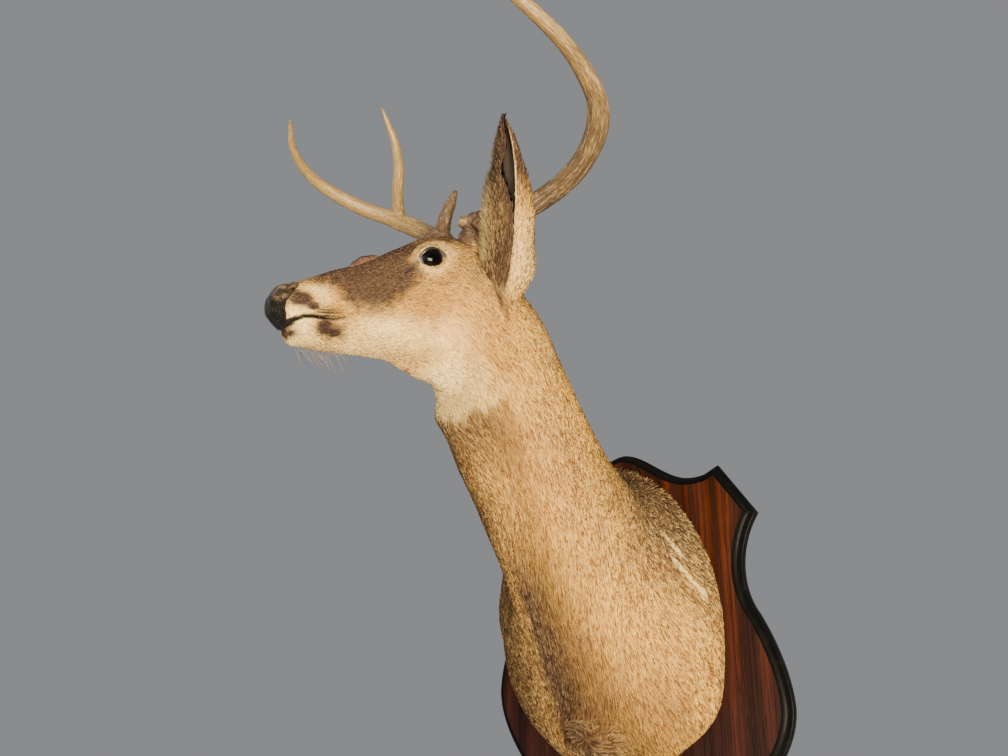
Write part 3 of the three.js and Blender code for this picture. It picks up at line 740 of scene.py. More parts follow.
def markings_and_shade(places, position, angle):
    """The coat's colours as shares from 0 to 1: pale, brown, grey, and bare black skin. Brown and grey also
    carry painted shade: on the breast, on the far side, round the antlers, along the folds before the ears
    and in the wrinkles by the mouth.
    """
    head = to_head(places)
    forward, up, profile = head[..., 0], head[..., 2], head[..., (0, 2)]
    on_head = ease(position, HEAD_BASE - 0.6, FACE_WHOLE)
    below = -np.sin(angle)
    rough = 3.0 * ripple(places, 5.0, 1.0) + 2.2 * ripple(places, 2.3, 4.0)

    jaw = ease(up + rough + forward * 0.10, -36, -76)
    jaw = jaw * ease(forward, 150, 118) * ease(forward + 2 * rough, -45, 5)
    jaw = jaw * (0.95 - 0.55 * ease(up, -72, -90) * ease(forward, 100, 30))
    throat = ease(below + 0.02 * rough, 0.35, 0.85) * ease(position + 0.03 * rough, 6.72, 7.02)
    throat = throat * ease(position, 10.5, 8.6)
    lips = ease(forward + rough, 106, 132) * ease(up + rough * 0.5, -19, -32) * ease(forward, 162, 152)
    cheek = within(profile, (62, -64), (36, 14))
    pale = np.maximum.reduce([jaw * 0.85 * on_head, throat * 0.9, lips * 0.85, cheek])

    dark_top = ease(up - along_table(BROWN_EDGE, forward) + rough * 1.6, -13, 13)
    dark_top = dark_top * ease(forward, 2, 32) * ease(forward + rough, 146, 128)
    crown = ease(up + rough, 22, 38) * ease(forward, -66, -30)
    band = ease(below + 0.02 * rough, 0.45, 0.95) * ease(position, 5.2, 6.5)
    band = band * ease(position + 0.03 * rough, 7.05, 6.75) * 0.58
    # The streak down the breast, from the midline towards the near side, is partly the coat's brown and
    # partly painted shade of the crease along the brisket.
    leftwards = (angle + 1.5 * math.pi) % (2 * math.pi) - math.pi + 0.02 * rough
    chest = np.exp(-((leftwards / np.where(leftwards > 0, 0.62, 0.24)) ** 2))
    chest = chest * ease(position, 5.4, 4.2) * ease(position, 0.1, 1.8) * 0.95
    # The deer's right side, away from the bright lamp, is painted darker brown and grey: painted shade.
    far_side_shade = ease(-np.cos(angle), -0.3, 0.7) * (1 - on_head) * 0.60
    mane = ease(np.sin(angle) + 0.01 * rough, 0.30, 0.95) * (1 - on_head) * 0.55
    brown = np.maximum.reduce([dark_top * on_head * 0.95, crown * on_head * 0.85, band, chest, mane, far_side_shade])
    nostril_patch = within(profile + (rough * 0.5)[..., None], (146, -38), (13, 8.5)) * 1.6
    ragged = profile + (rough * 0.4)[..., None]
    tail = 1.3 * within(ragged, (136, -44), (10, 5.5))
    # A dark patch over the wrinkles above the mouth corner, banded along them: painted shade in the
    # wrinkles.
    wrinkle_shade = 1.5 * within(profile, (121, -50.5), (15, 6)) * (0.72 + 0.28 * np.cos((up + 51) * 2.1))
    lip_patch = np.maximum(
        within(ragged, (124, -64), (10, 9)) * 1.5, within(ragged, (114, -69), (12, 8)) * 1.2
    )
    chin_front = within(head + (0.4 * rough)[..., None], (151, 0, -67), (7, 17, 4.5)) * 1.8
    # Dark brown along the fold before each ear: painted shade in the fold.
    fold, _ = off_line(head, EAR_FOLD, 1)
    far_fold, _ = off_line(head, EAR_FOLD, -1)
    fold = np.exp(-((np.minimum(fold, far_fold)[..., 0] / 4.2) ** 2))
    spots = np.maximum.reduce([nostril_patch, tail, wrinkle_shade, lip_patch, chin_front, fold])
    spots = np.clip(spots * on_head, 0, 1)
    brown = np.maximum(brown, spots)
    pale = pale * (1 - spots)
    shoulder = ease(np.sin(angle) + 0.015 * rough, -0.25, 0.45) * ease(position, 5.4, 3.6)
    cheek_top = ease(up + rough * 1.5, -44, -6) * on_head
    temple = within(profile, (-32, 0), (13, 22)) * 0.8
    grey = np.maximum.reduce(
        [shoulder * 0.95, mane, far_side_shade, dark_top * on_head * 0.35, cheek_top * 0.54, temple]
    )
    for start, end in PARTINGS:
        parted = ease(off_segment(places, snap(start, places), snap(end, places)), 4.4, 1.6) * 0.85
        pale, grey = np.maximum(pale, parted), grey * (1 - parted)

    bare = np.zeros_like(forward)
    for side in (1, -1):
        near = head[..., 1] * side > 20
        ahead, over, _, edge = eye_plane(head, side)
        ring = ease(edge + 0.08 * rough, 2.5, 1.1) * ease(edge, 1.02, 1.12) * near
        pale = np.maximum(pale, ring * np.where(over > 0, 0.46, 0.44) * ease(ahead, 1.7, 0.7))
        brown, grey = brown * (1 - ring * 0.9), grey * (1 - ring * 0.7)
        lid_skin = ease(edge, 1.20, 1.10) * near * np.where(over > 0.05, 1.0, 0.35)
        tears = off_line(head, TEAR_LINE, side)[0][..., 0]
        bare = np.maximum(bare, lid_skin)
        bare = np.maximum(bare, ease(tears, 2.6, 0.9) * ease(edge, 1.0, 1.15) * 0.7)
        brown = np.maximum(brown, ease(tears, 7.0, 2.0) * ease(edge, 1.2, 1.5) * 0.9 * near)
        lips_gap = off_line(head, MOUTH_LINE, side)[0][..., 0]
        bare = np.maximum(bare, ease(lips_gap, 2.6, 1.2) * ease(np.abs(forward - 140), 22, 12) * on_head)
        brown = np.maximum(brown, ease(lips_gap, 3.0, 1.2) * on_head * 0.9)
        bare = np.maximum(bare, ease(lips_gap, 5.0, 3.0) * ease(forward, 146, 151) * on_head)
        # Dark brown round each antler's base: partly the dark hair there and partly painted shadow under the
        # antler.
        stump = np.linalg.norm(head - mirrored((-49, 35, 44), side), axis=-1)
        brown = np.maximum(brown, ease(stump, 24, 16))
    bare = np.maximum(bare, pad_cover(head) * on_head)
    tones = {"pale": pale, "brown": brown, "grey": grey, "bare": bare}
    return {name: np.clip(values, 0, 1) for name, values in tones.items()}


def coat_paint(name, fine):
    """Hair: fawn flecked dark and cream, with the markings and the painted shade that are stored on the
    mesh.
    """
    material, wire, shader = new_material(name, Specular_IOR_Level=0.2)
    here = wire.place()
    pale, brown, grey, bare = (wire.stored(tone) for tone in TONES)
    tip, strand = wire.stored("tip"), wire.stored("strand")
    drift = wire.noise(here, 13.0, 3.0)
    fleck = wire.noise(here, 420.0, 2.0)
    fawn = drift.step(0.3, 0.7).mix((0.440, 0.225, 0.060), (0.650, 0.345, 0.066))
    greyed = (grey * 0.85).mix(fawn, (0.125, 0.073, 0.047))
    browned = brown.mix(greyed, (0.048, 0.026, 0.018))
    creamed = pale.mix(browned, (0.980, 0.740, 0.330))
    shade = {"data_type": "RGBA", "blend_type": "MULTIPLY"}
    darkest = wire.node("Mix", shade, {0: 1.0, 6: creamed, 7: (0.28, 0.22, 0.20, 1)}, 2)
    rooted = (tip * 0.45 + strand * 0.85 + (fleck - 0.5) * fine + pale * 0.16).step(0.26, 0.92)
    flecked = rooted.mix(darkest, creamed)
    frost = (tip * strand).step(0.40, 0.95) * 0.85
    frosted = frost.mix(flecked, brown.mix((0.880, 0.640, 0.200), (0.240, 0.145, 0.088)))
    skin_black = wire.noise(here, 300.0).mix((0.006, 0.005, 0.004), (0.022, 0.017, 0.014))
    feed(
        shader,
        Base_Color=bare.mix(frosted, skin_black),
        Roughness=0.75 - bare * 0.3,
        Normal=wire.bump(wire.noise(here, 700.0, 2.0), 0.0006, 0.5),
    )
    return material


hide_tones = markings_and_shade(hide, position_of, angle_of)
hide_tones |= {"tip": np.full_like(position_of, 0.35), "strand": np.full_like(position_of, 0.5)}
hide_piece = grid_mesh("hide", hide, outwards=winds_out)
paint(hide_piece, hide_tones)
hide_paint = coat_paint("short hair on the hide", 0.9)
hide_piece.data.materials.append(hide_paint)
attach(hide_piece, "root")
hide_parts("shoulders", "neck", "head", "muzzle", "lower_jaw")


# ------------------------------------------------------------------ the nose pad
# Bare black skin, pebbled and painted to look moist, with a nostril on each side and a shallow
# groove down the middle. It sits on the hide's front end and runs under the hair round its edge.
PAD_FROM, PAD_STEP, PAD_SIDES, PAD_DOME = 13.6, 0.75, 200, 3.4
nose_positions = spaced(PAD_FROM, NOSE_TIP, lambda p: PAD_STEP / ring_travel(p))
nose_angles = np.linspace(-math.pi / 2, 1.5 * math.pi, PAD_SIDES + 1)[:-1]
pad = body_rings(nose_positions, nose_angles)
tip_ring = pad[-1]
tip_middle = tip_ring.mean(0)
dome = [
    tip_middle + (tip_ring - tip_middle) * math.cos(turn) + HEAD_AXES[0] * PAD_DOME * math.sin(turn)
    for turn in np.linspace(0, math.pi / 2, 12)[1:-1]
]
pad = np.concatenate([pad, dome])
pad = slope_lip(to_head(pad))
pad_facing, _, pad_winds_out = grid_frame(pad)
cover = pad_cover(pad) * ease(pad[..., 2], -67.5, -65)
PAD_PROUD, PAD_SUNK = 0.5, 2.6
pad = pad + pad_facing * (PAD_PROUD * cover - PAD_SUNK * (1 - cover))[..., None]
groove = 0.9 * np.exp(-((pad[..., 1] / 1.3) ** 2)) * ease(pad[..., 2], -30, -42) * cover
pad = pad - pad_facing * groove[..., None]
for side in (1, -1):
    pad = mound(pad, pad_facing, mirrored((151, 22, -24), side), (8, 8, 4), 1.3)
    pad = mound(pad, pad_facing, mirrored((153, 19, -38), side), (8, 10, 5), 0.8)
    arm = pad - mirrored(NOSTRIL, side)
    bend = arm[..., 2] + 0.05 * arm[..., 0] ** 2
    slot_edge = np.hypot(arm[..., 0] / 7.0, bend / 2.9)
    deep = ease(slot_edge, 1.15, 0.5) * (pad[..., 1] * side > 8)
    pad = pad - (mirrored((0.35, 1, 0.1), side) * 7.5) * deep[..., None]
nose_piece = grid_mesh("nose", from_head(pad), outwards=pad_winds_out)
nose_skin, wire, shader = new_material("black nose skin", Coat_Roughness=0.25, Specular_IOR_Level=0.12)
here = wire.place()
pebbles = wire.node("TexVoronoi", {"feature": "DISTANCE_TO_EDGE"}, {"Vector": here, "Scale": 680.0})
pebble = pebbles.step(0.0, 0.28)
worn = wire.stored("worn")
dusty = wire.noise(here, 170.0, 4.0).step(0.42, 0.62)
# The pebbles are painted lighter on their tops and near black in the grooves between them: painted shade in
# the grooves.
ink_with_pebble_shade = (pebble * 0.8).mix((0.002, 0.002, 0.002), (0.014, 0.012, 0.010))
scuffed = (worn * (0.15 + dusty * 0.85)).mix(ink_with_pebble_shade, (0.30, 0.19, 0.11))
feed(
    shader,
    Base_Color=(dusty * 0.2).mix(scuffed, (0.060, 0.046, 0.034)),
    Roughness=0.42 + dusty * 0.2 + worn * 0.15,
    Coat_Weight=0.08 - dusty * 0.07,
    Normal=wire.bump(pebble, 0.0009, 1.0),
)
worn_spot = within(pad, (160, 15, -35), (5, 9, 5)) + 1.5 * within(pad, (155, 10, -21), (12, 15, 8))
paint(nose_piece, {"worn": np.clip(worn_spot, 0, 1)})
nose_piece.data.materials.append(nose_skin)
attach(nose_piece, "root")
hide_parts("nose_pad")


# ------------------------------------------------------------------ the glass eyes and their lids
# Each eye is a blown glass ball with a clear bulging front over a dark brown iris and a long level
# pupil. The lids are black skin tucked round it, the lower one dried to a pale grey edge.
def eye_ball(name, side, node):
    """The glass ball of one eye, turned to its gaze, with a bulging front."""
    bpy.ops.mesh.primitive_uv_sphere_add(segments=64, ring_count=40, radius=EYE_RADIUS * MM)
    ball = bpy.context.object
    ball.name = name
    ball.select_set(False)
    front, above, gaze, centre = eye_axes(side)
    ray = unit(points_of(ball))
    bulge = EYE_RADIUS * (1 + 0.05 * ease(ray[:, 2], 0.70, 0.92))
    shaped = centre + (ray[:, :1] * front + ray[:, 1:2] * above + ray[:, 2:] * gaze) * bulge[:, None]
    ball.data.vertices.foreach_set("co", (from_head(shaped) * MM).ravel())
    if np.dot(np.cross(front, above), gaze) < 0:
        ball.data.flip_normals()
    shade_smooth(ball.data)
    paint(ball, {"ahead": ray[:, 0], "over": ray[:, 1]})
    ball.data.materials.append(glass_eye)
    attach(ball, "root")
    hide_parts(node)


LID_STEPS, LID_SIDES = 120, 12


def lid_edge(name, side):
    """The rolled edge of both lids, as a ring of small ovals lying on the eyeball."""
    front, above, gaze, centre = eye_axes(side)
    turn = np.linspace(0, 2 * math.pi, LID_STEPS + 1)[:-1]
    ahead = signed_power(np.cos(turn), 2 / LID_ROUND) * LID_LENGTH
    over = signed_power(np.sin(turn), 2 / LID_ROUND) * lid_height(ahead, np.sin(turn))
    ahead = ahead - LID_BACK
    deep = np.sqrt(np.maximum(1 - ahead**2 - over**2, 0.02))
    ray = unit(ahead[:, None] * front + over[:, None] * above + deep[:, None] * gaze)
    upper = ease(np.sin(turn), -0.15, 0.25)
    thick = (0.75 + 1.15 * upper) * (0.55 + 0.45 * np.abs(np.sin(turn)))
    ridge = unit(np.roll(ray, -1, 0) - np.roll(ray, 1, 0))
    out = unit(np.cross(ridge, ray))
    out = out * np.sign(dot(out, ray - unit(gaze)))
    spin = np.linspace(0, 2 * math.pi, LID_SIDES + 1)[:-1]
    rings = [
        centre
        + ray * (EYE_RADIUS + 0.75 + thick * 0.75 * math.sin(a))[:, None]
        + out * (0.35 + thick * math.cos(a))[:, None]
        for a in spin
    ]
    grid = np.stack(rings, 1)
    closed = np.concatenate([grid, grid[:1]])
    _, _, outwards = grid_frame(closed)
    lid = grid_mesh(name, from_head(closed), ends=False, outwards=outwards)
    bpy.context.view_layer.objects.active = lid
    lid.select_set(True)
    bpy.ops.object.mode_set(mode="EDIT")
    bpy.ops.mesh.select_all(action="SELECT")
    bpy.ops.mesh.remove_doubles(threshold=0.01 * MM)
    bpy.ops.mesh.normals_make_consistent(inside=False)
    bpy.ops.object.mode_set(mode="OBJECT")
    lid.select_set(False)
    arm = to_head(points_of(lid) / MM) - centre
    paint(lid, {"upper": ease(arm @ above / EYE_RADIUS, -0.12, 0.18)})
    lid.data.materials.append(lid_skin)
    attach(lid, "root")


glass_eye, wire, shader = new_material(
    "dark glass eye", Roughness=0.05, Coat_Weight=0.10, Specular_IOR_Level=0.08
)
ahead, over = wire.stored("ahead"), wire.stored("over")
around = wire.node("CombineXYZ", {}, {0: ahead, 1: over})
fibres = wire.noise(around, 22.0, 3.0)
reach = wire.maths("SQRT", ahead * ahead + over * over)
pupil_reach = wire.maths("SQRT", ahead * ahead * 6.0 + over * over * 17.0)
iris = (fibres.step(0.3, 0.7) * 0.8).mix((0.0016, 0.0011, 0.0009), (0.0045, 0.0024, 0.0017))
# The grey-blue ring round the iris is painted sheen: reflected light on the glass, painted into the colour.
iris_with_painted_sheen = reach.step(0.66, 0.80).mix(iris, (0.085, 0.090, 0.100))
rimmed = reach.step(0.88, 0.96).mix(iris_with_painted_sheen, (0.006, 0.006, 0.007))
feed(shader, Base_Color=pupil_reach.step(0.92, 1.05).mix((0.0008, 0.0008, 0.001), rimmed))

lid_skin, wire, shader = new_material("lid edge", Coat_Roughness=0.3)
here = wire.place()
upper = wire.stored("upper")
grain = wire.noise(here, 500.0, 3.0)
dried = grain.mix((0.30, 0.26, 0.24), (0.62, 0.56, 0.52))
feed(
    shader,
    Base_Color=upper.mix(dried, (0.010, 0.008, 0.008)),
    Roughness=0.5 - upper * 0.12,
    Coat_Weight=0.15 + upper * 0.25,
    Normal=wire.bump(grain, 0.0004, 0.7),
)
for side, label in ((1, "left"), (-1, "right")):
    eye_ball("glass_eye_" + label, side, "eye_" + label)
    lid_edge("eyelid_" + label, side)


# ------------------------------------------------------------------ the ears
# Each ear is its own skin over a bent plastic liner, rolled into a pointed cup and sewn on behind
# the head. The opening is a narrow dark slit whose front flap curls over it and carries long hair.
EARS = {
    "left": (1, (-76, 44, -20), (-65, 100, 57), (-48, 105, 154), (0.45, 0.85, -0.25)),
    "right": (-1, (-78, -42, -20), (-130, -96, 60), (-195, -105, 85), (0.3, -0.9, -0.3)),
}
EAR_WIDTH = [
    [-0.16, 30], [-0.05, 40], [0.05, 45], [0.15, 48], [0.25, 50], [0.42, 50], [0.57, 45.5], [0.7, 37.5],
    [0.82, 28], [0.93, 17], [1, 4],
]
# How far the slit's two edges lie from the middle of the opening, as turns in radians: the flap on
# the face's side and the edge behind it.
FLAP_EDGE = [
    [-0.16, 0], [0.3, 0], [0.42, 0.02], [0.5, 0.08], [0.6, 0.34], [0.68, 0.82], [0.73, 0.86], [0.8, 0.42],
    [0.86, 0.34], [1, 0.6],
]
BACK_EDGE = [[-0.16, 0.03], [0.45, 0.05], [0.6, 0.10], [0.8, 0.22], [1, 0.5]]
# How flat its round is, the points round it, and the depth of its hair in millimetres.
EAR_CUP, EAR_STEPS, HAIR_ON_EAR = 0.74, 64, 1.8


def smooth_table(pairs, shares, passes=14):
    """The table's values with its corners rounded off."""
    start, end = pairs[0][0], pairs[-1][0]
    fine = np.linspace(start, end, 161)
    values = np.interp(fine, *np.transpose(pairs))
    for _ in range(passes):
        values[1:-1] = (values[:-2] + 2 * values[1:-1] + values[2:]) / 4
    return np.interp(shares, fine, values)


def ear_frame(shares, butt, bend, tip, opening, side):
    """Centres up the ear, and unit vectors along it, towards its opening and backwards."""
    t = shares[:, None]
    butt, bend, tip = from_head([butt, bend, tip])
    centre = butt * (1 - t) ** 2 + bend * 2 * t * (1 - t) + tip * t * t
    rising = unit((bend - butt) * (1 - t) + (tip - bend) * t)
    towards = unit(np.asarray(opening) @ HEAD_AXES)
    front = unit(towards - dot(rising, towards) * rising)
    return centre, rising, front, np.cross(rising, front) * side


def ear_shape(label):
    """The ear's outside from the slit's back edge round to its flap, its inside, and its lie."""
    side, *curve = EARS[label]
    closing = 0.75 + 0.248 * np.sin(np.linspace(0.05, math.pi / 2, 38))
    shares = np.concatenate([np.linspace(-0.16, 0.75, 92), closing])
    centre, rising, front, backward = ear_frame(shares, *curve, side)
    half = smooth_table(EAR_WIDTH, shares, 8) / 2
    start = smooth_table(BACK_EDGE, shares)[:, None]
    end = 2 * math.pi - smooth_table(FLAP_EDGE, shares, 3)[:, None]
    turn = start + (1 - np.cos(np.linspace(0, math.pi, EAR_STEPS))) / 2 * (end - start)
    rim = np.minimum(turn - start, end - turn)
    flap = np.exp(-(((end - turn) / 0.5) ** 2))
    scale = half[:, None] / 30
    wall = np.minimum(2.2, half[:, None] * 0.3)
    curl = (3.4 * flap + 0.8 * np.exp(-(((turn - start) / 0.25) ** 2))) * scale
    curl = curl * ease(shares, 0.0, 0.2)[:, None]
    ripple = 0.7 * np.sin(turn * 4 + shares[:, None] * 12)
    ripple = ripple + 0.9 * np.sin(shares[:, None] * 31 + turn * 2) * flap
    behind = 7.0 * np.exp(-(((shares - 0.14) / 0.12) ** 2)) * ease(shares, -0.06, 0.1)
    behind = behind - 3.0 * ease(shares, 0.5, 0.8)
    layers = []
    for inward in (HAIR_ON_EAR + 0 * turn, HAIR_ON_EAR + wall + 0 * turn):
        reach = half[:, None] - inward - ripple * scale + behind[:, None] * np.maximum(np.sin(turn), 0)
        point = (
            centre[:, None]
            + front[:, None] * (np.cos(turn) * reach * EAR_CUP + curl)[..., None]
            + backward[:, None] * (np.sin(turn) * reach)[..., None]
        )
        layers.append(point)
    lie = np.repeat(rising[:, None], EAR_STEPS, 1)
    outwards = front[:, None] * np.cos(turn)[..., None] + backward[:, None] * np.sin(turn)[..., None]
    return shares, turn, end - turn, rim, layers[0], layers[1], lie, outwards


def ear_tones(shares, from_flap, rim, inside):
    """Grey-brown on the flap and the back, cream behind the slit, and dark at the tip; inside the cup the
    hair is dark brown and the skin black deeper in from the rim, as painted shade. inside is 0 on the outer
    skin and 1 in the cup."""
    up = shares[:, None] + 0 * from_flap
    flap = ease(from_flap, 2.6, 1.9) * ease(up, -0.12, 0.12)
    ridge = np.exp(-(((from_flap - 0.75 - 0.3 * np.sin(up * 9)) / 0.28) ** 2)) * ease(up, 0.75, 0.45)
    tip = ease(up, 0.86, 0.97)
    edge = ease(from_flap, 0.30, 0.10) * ease(up, 0.15, 0.3)
    patchy = 0.5 + 0.5 * np.sin(up * 17 + 2.2 * np.sin(from_flap * 5)) * np.sin(from_flap * 6 + up * 5)
    brown = np.maximum.reduce([flap * (0.66 + 0.32 * patchy) * (1 - ridge * 0.3), tip, edge * 0.9])
    brown = np.maximum.reduce([brown, ease(rim, 0.16, 0.02) * 0.6, ease(up, 0.40, 0.72) * 0.92])
    seam = np.exp(-(((rim - 0.04) / 0.03) ** 2)) * (1 - flap) * ease(up, 0.35, 0.5) * 0.8
    pale = np.clip(0.45 * ease(up, 0.65, 0.25) * (1 - flap) * ease(up, -0.08, 0.12), 0, 1)
    pale = np.maximum(pale, seam) * (1 - tip)
    # Inside the cup (inside is 1) the hair is full brown and the skin turns black deeper in from the rim:
    # painted shade in the cup.
    return {
        "pale": pale * (1 - inside),
        "brown": brown * (1 - inside) + inside,
        "grey": flap * 0.9 * (1 - inside),
        "bare": inside * ease(rim, 0.02, 0.25) * 0.55,
    }


ear_grids = {}
for label in EARS:
    shares, turn, from_flap, rim, outer_skin, inner_skin, lie, outwards = ear_shape(label)
    loops = np.concatenate([outer_skin, inner_skin[:, ::-1]], 1)
    _, _, ear_winds_out = grid_frame(loops)
    ear = grid_mesh("ear_skin_" + label, loops, outwards=ear_winds_out)
    outside_tones = ear_tones(shares, from_flap, rim, np.zeros_like(turn))
    inside_tones = ear_tones(shares, from_flap, rim, np.ones_like(turn))
    for tone in TONES:
        paint(ear, {tone: np.concatenate([outside_tones[tone], inside_tones[tone][:, ::-1]], 1)})
    paint(ear, {"tip": np.full(loops.shape[:2], 0.4), "strand": np.full(loops.shape[:2], 0.5)})
    ear.data.materials.append(hide_paint)
    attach(ear, "root")
    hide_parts("ear_" + label)
    ear_grids[label] = (shares, turn, from_flap, outer_skin, inner_skin, lie, outwards, outside_tones)


# ------------------------------------------------------------------ the antlers
# Real bone, sawn off with the skull plate and screwed to the form. The burr and lower beam are
# rough, beaded, furrowed and stained brown, and the tines wear smooth and pale to their tips.
# Each branch: its route as forward, left, up in the head; its radius at shares of its length; and
# how worn it is from foot to tip.
BRANCHES = {
    "left_stump": ([(-42, 29, 20), (-50, 36, 46)], [[0, 17], [1, 15]], (0.0, 0.0)),
    "right_stump": ([(-42, -29, 20), (-48, -36, 52)], [[0, 17], [1, 15]], (0.0, 0.0)),
    "left_beam": (
        [
            (-50.3, 36.3, 47), (-64, 42, 60), (-112, 76, 82), (-122, 138, 105), (-98, 192, 133),
            (-45, 215, 166), (18, 211, 205), (58, 192, 236), (76, 163, 262),
        ],
        [
            [0, 18], [0.03, 18.5], [0.05, 13.5], [0.2, 11.8], [0.45, 11.3], [0.6, 8], [0.8, 5.6],
            [0.97, 2.6], [1, 1],
        ],
        (0.0, 0.8),
    ),
    "left_brow_stub": (
        [(-53, 40, 50), (-41, 36, 58), (-34, 32, 62)],
        [[0, 9], [0.6, 8], [1, 6]],
        (0.15, 0.45),
    ),
    "right_base": (
        [(-48.1, -36.3, 53), (-56, -48, 64), (-88, -90, 82), (-97, -138, 105), (-75, -180, 133)],
        [[0, 18], [0.04, 18.5], [0.08, 13.5], [0.5, 11.8], [0.85, 12.1], [0.93, 11.6], [1, 8.5]],
        (0.0, 0.62),
    ),
    "right_front_beam": (
        [
            (-84, -168, 123), (-72, -183, 135), (-30, -207, 155), (30, -212, 184), (64, -192, 209),
            (79, -163, 234),
        ],
        [[0, 9.5], [0.04, 11.6], [0.08, 12], [0.15, 10.6], [0.5, 8.6], [0.8, 5], [0.97, 2.4], [1, 1]],
        (0.55, 1.0),
    ),
    "right_rear_tine": (
        [
            (-75, -179, 131), (-76, -178, 177), (-78, -176, 205), (-72, -172, 240), (-59, -168, 267),
            (-50, -165, 284),
        ],
        [[0, 6.5], [0.06, 10.5], [0.15, 8.4], [0.5, 7.6], [0.8, 5], [0.97, 2.2], [1, 1]],
        (0.5, 1.0),
    ),
    "right_brow_tine": (
        [(-51, -36, 60), (-57, -32, 88), (-63, -28, 105), (-69, -24, 121)],
        [[0, 11], [0.3, 9], [0.7, 7], [0.95, 3.5], [1, 2]],
        (0.0, 0.22),
    ),
}


def smooth_route(spots, spacing):
    """Points at even spacing along a centripetal Catmull-Rom curve through spots of the head."""
    spots = from_head(spots)
    spots = np.array([2 * spots[0] - spots[1], *spots, 2 * spots[-1] - spots[-2]])
    knots = np.concatenate([[0], np.cumsum(np.linalg.norm(np.diff(spots, axis=0), axis=1) ** 0.5)])
    samples = []
    for k in range(1, len(spots) - 2):
        a, b, c, d = spots[k - 1 : k + 3]
        ka, kb, kc, kd = knots[k - 1 : k + 3]
        t = np.linspace(kb, kc, 40, endpoint=k == len(spots) - 3)[:, None]
        ab = a * (kb - t) / (kb - ka) + b * (t - ka) / (kb - ka)
        bc = b * (kc - t) / (kc - kb) + c * (t - kb) / (kc - kb)
        cd = c * (kd - t) / (kd - kc) + d * (t - kc) / (kd - kc)
        abc = ab * (kc - t) / (kc - ka) + bc * (t - ka) / (kc - ka)
        bcd = bc * (kd - t) / (kd - kb) + cd * (t - kb) / (kd - kb)
        samples.append(abc * (kc - t) / (kc - kb) + bcd * (t - kb) / (kc - kb))
    line = np.concatenate(samples)
    travel = np.concatenate([[0], np.cumsum(np.linalg.norm(np.diff(line, axis=0), axis=1))])
    even = np.linspace(0, travel[-1], max(int(travel[-1] / spacing), 12))
    return np.stack([np.interp(even, travel, line[:, k]) for k in range(3)], 1), even


def tube_frames(line):
    """Two unit vectors across a line at each of its points, carried along it without twisting."""
    rising = unit(np.gradient(line, axis=0))
    side = unit(np.cross(rising[0], (0.3, 0.2, 0.9)))
    sides = []
    for direction in rising:
        side = unit(side - direction * (side @ direction))
        sides.append(side)
    sides = np.array(sides)
    return sides, np.cross(rising, sides)


def bone_relief(along, angle, worn, seed, with_burr):
    """Share that the bone stands out: long furrows, knobs low down, and a burr round its foot."""
    rough = ease(worn, 0.75, 0.05)
    furrow = np.sin(5 * angle + 0.020 * along + seed + 1.1 * np.sin(along / 29 + seed))
    finer = np.sin(12 * angle - 0.030 * along + 2 * seed + 1.3 * np.sin(along / 17))
    knobs = np.sin(9 * angle + 1.7 * np.sin(along / 4.1 + seed))
    knobs = knobs * np.sin(along / 2.4 + 3 * np.sin(2 * angle + seed))
    relief = (
        -0.075 * np.maximum(furrow, 0) ** 2 * (0.15 + rough)
        - 0.040 * np.maximum(finer, 0) ** 2 * (0.10 + rough)
        + 0.14 * ease(worn, 0.30, 0.0) * np.maximum(knobs, 0)
        + 0.030 * np.sin(2 * angle + seed)
        + 0.014 * np.sin(along / 11 + seed)
    )
    if with_burr:
        ring = np.exp(-(((along - 5.5) / 4.2) ** 2))
        beads = np.abs(np.sin(7.5 * angle + 0.8 * np.sin(3 * angle))) ** 0.7
        relief = relief + ring * (0.16 * beads - 0.02)
    return relief


ANTLER_SIDES, ROUTE_STEP, VOXEL = 60, 0.9, 1.15
BURRED = ("left_beam", "right_base")
NEAREST_BLOCK = 4000


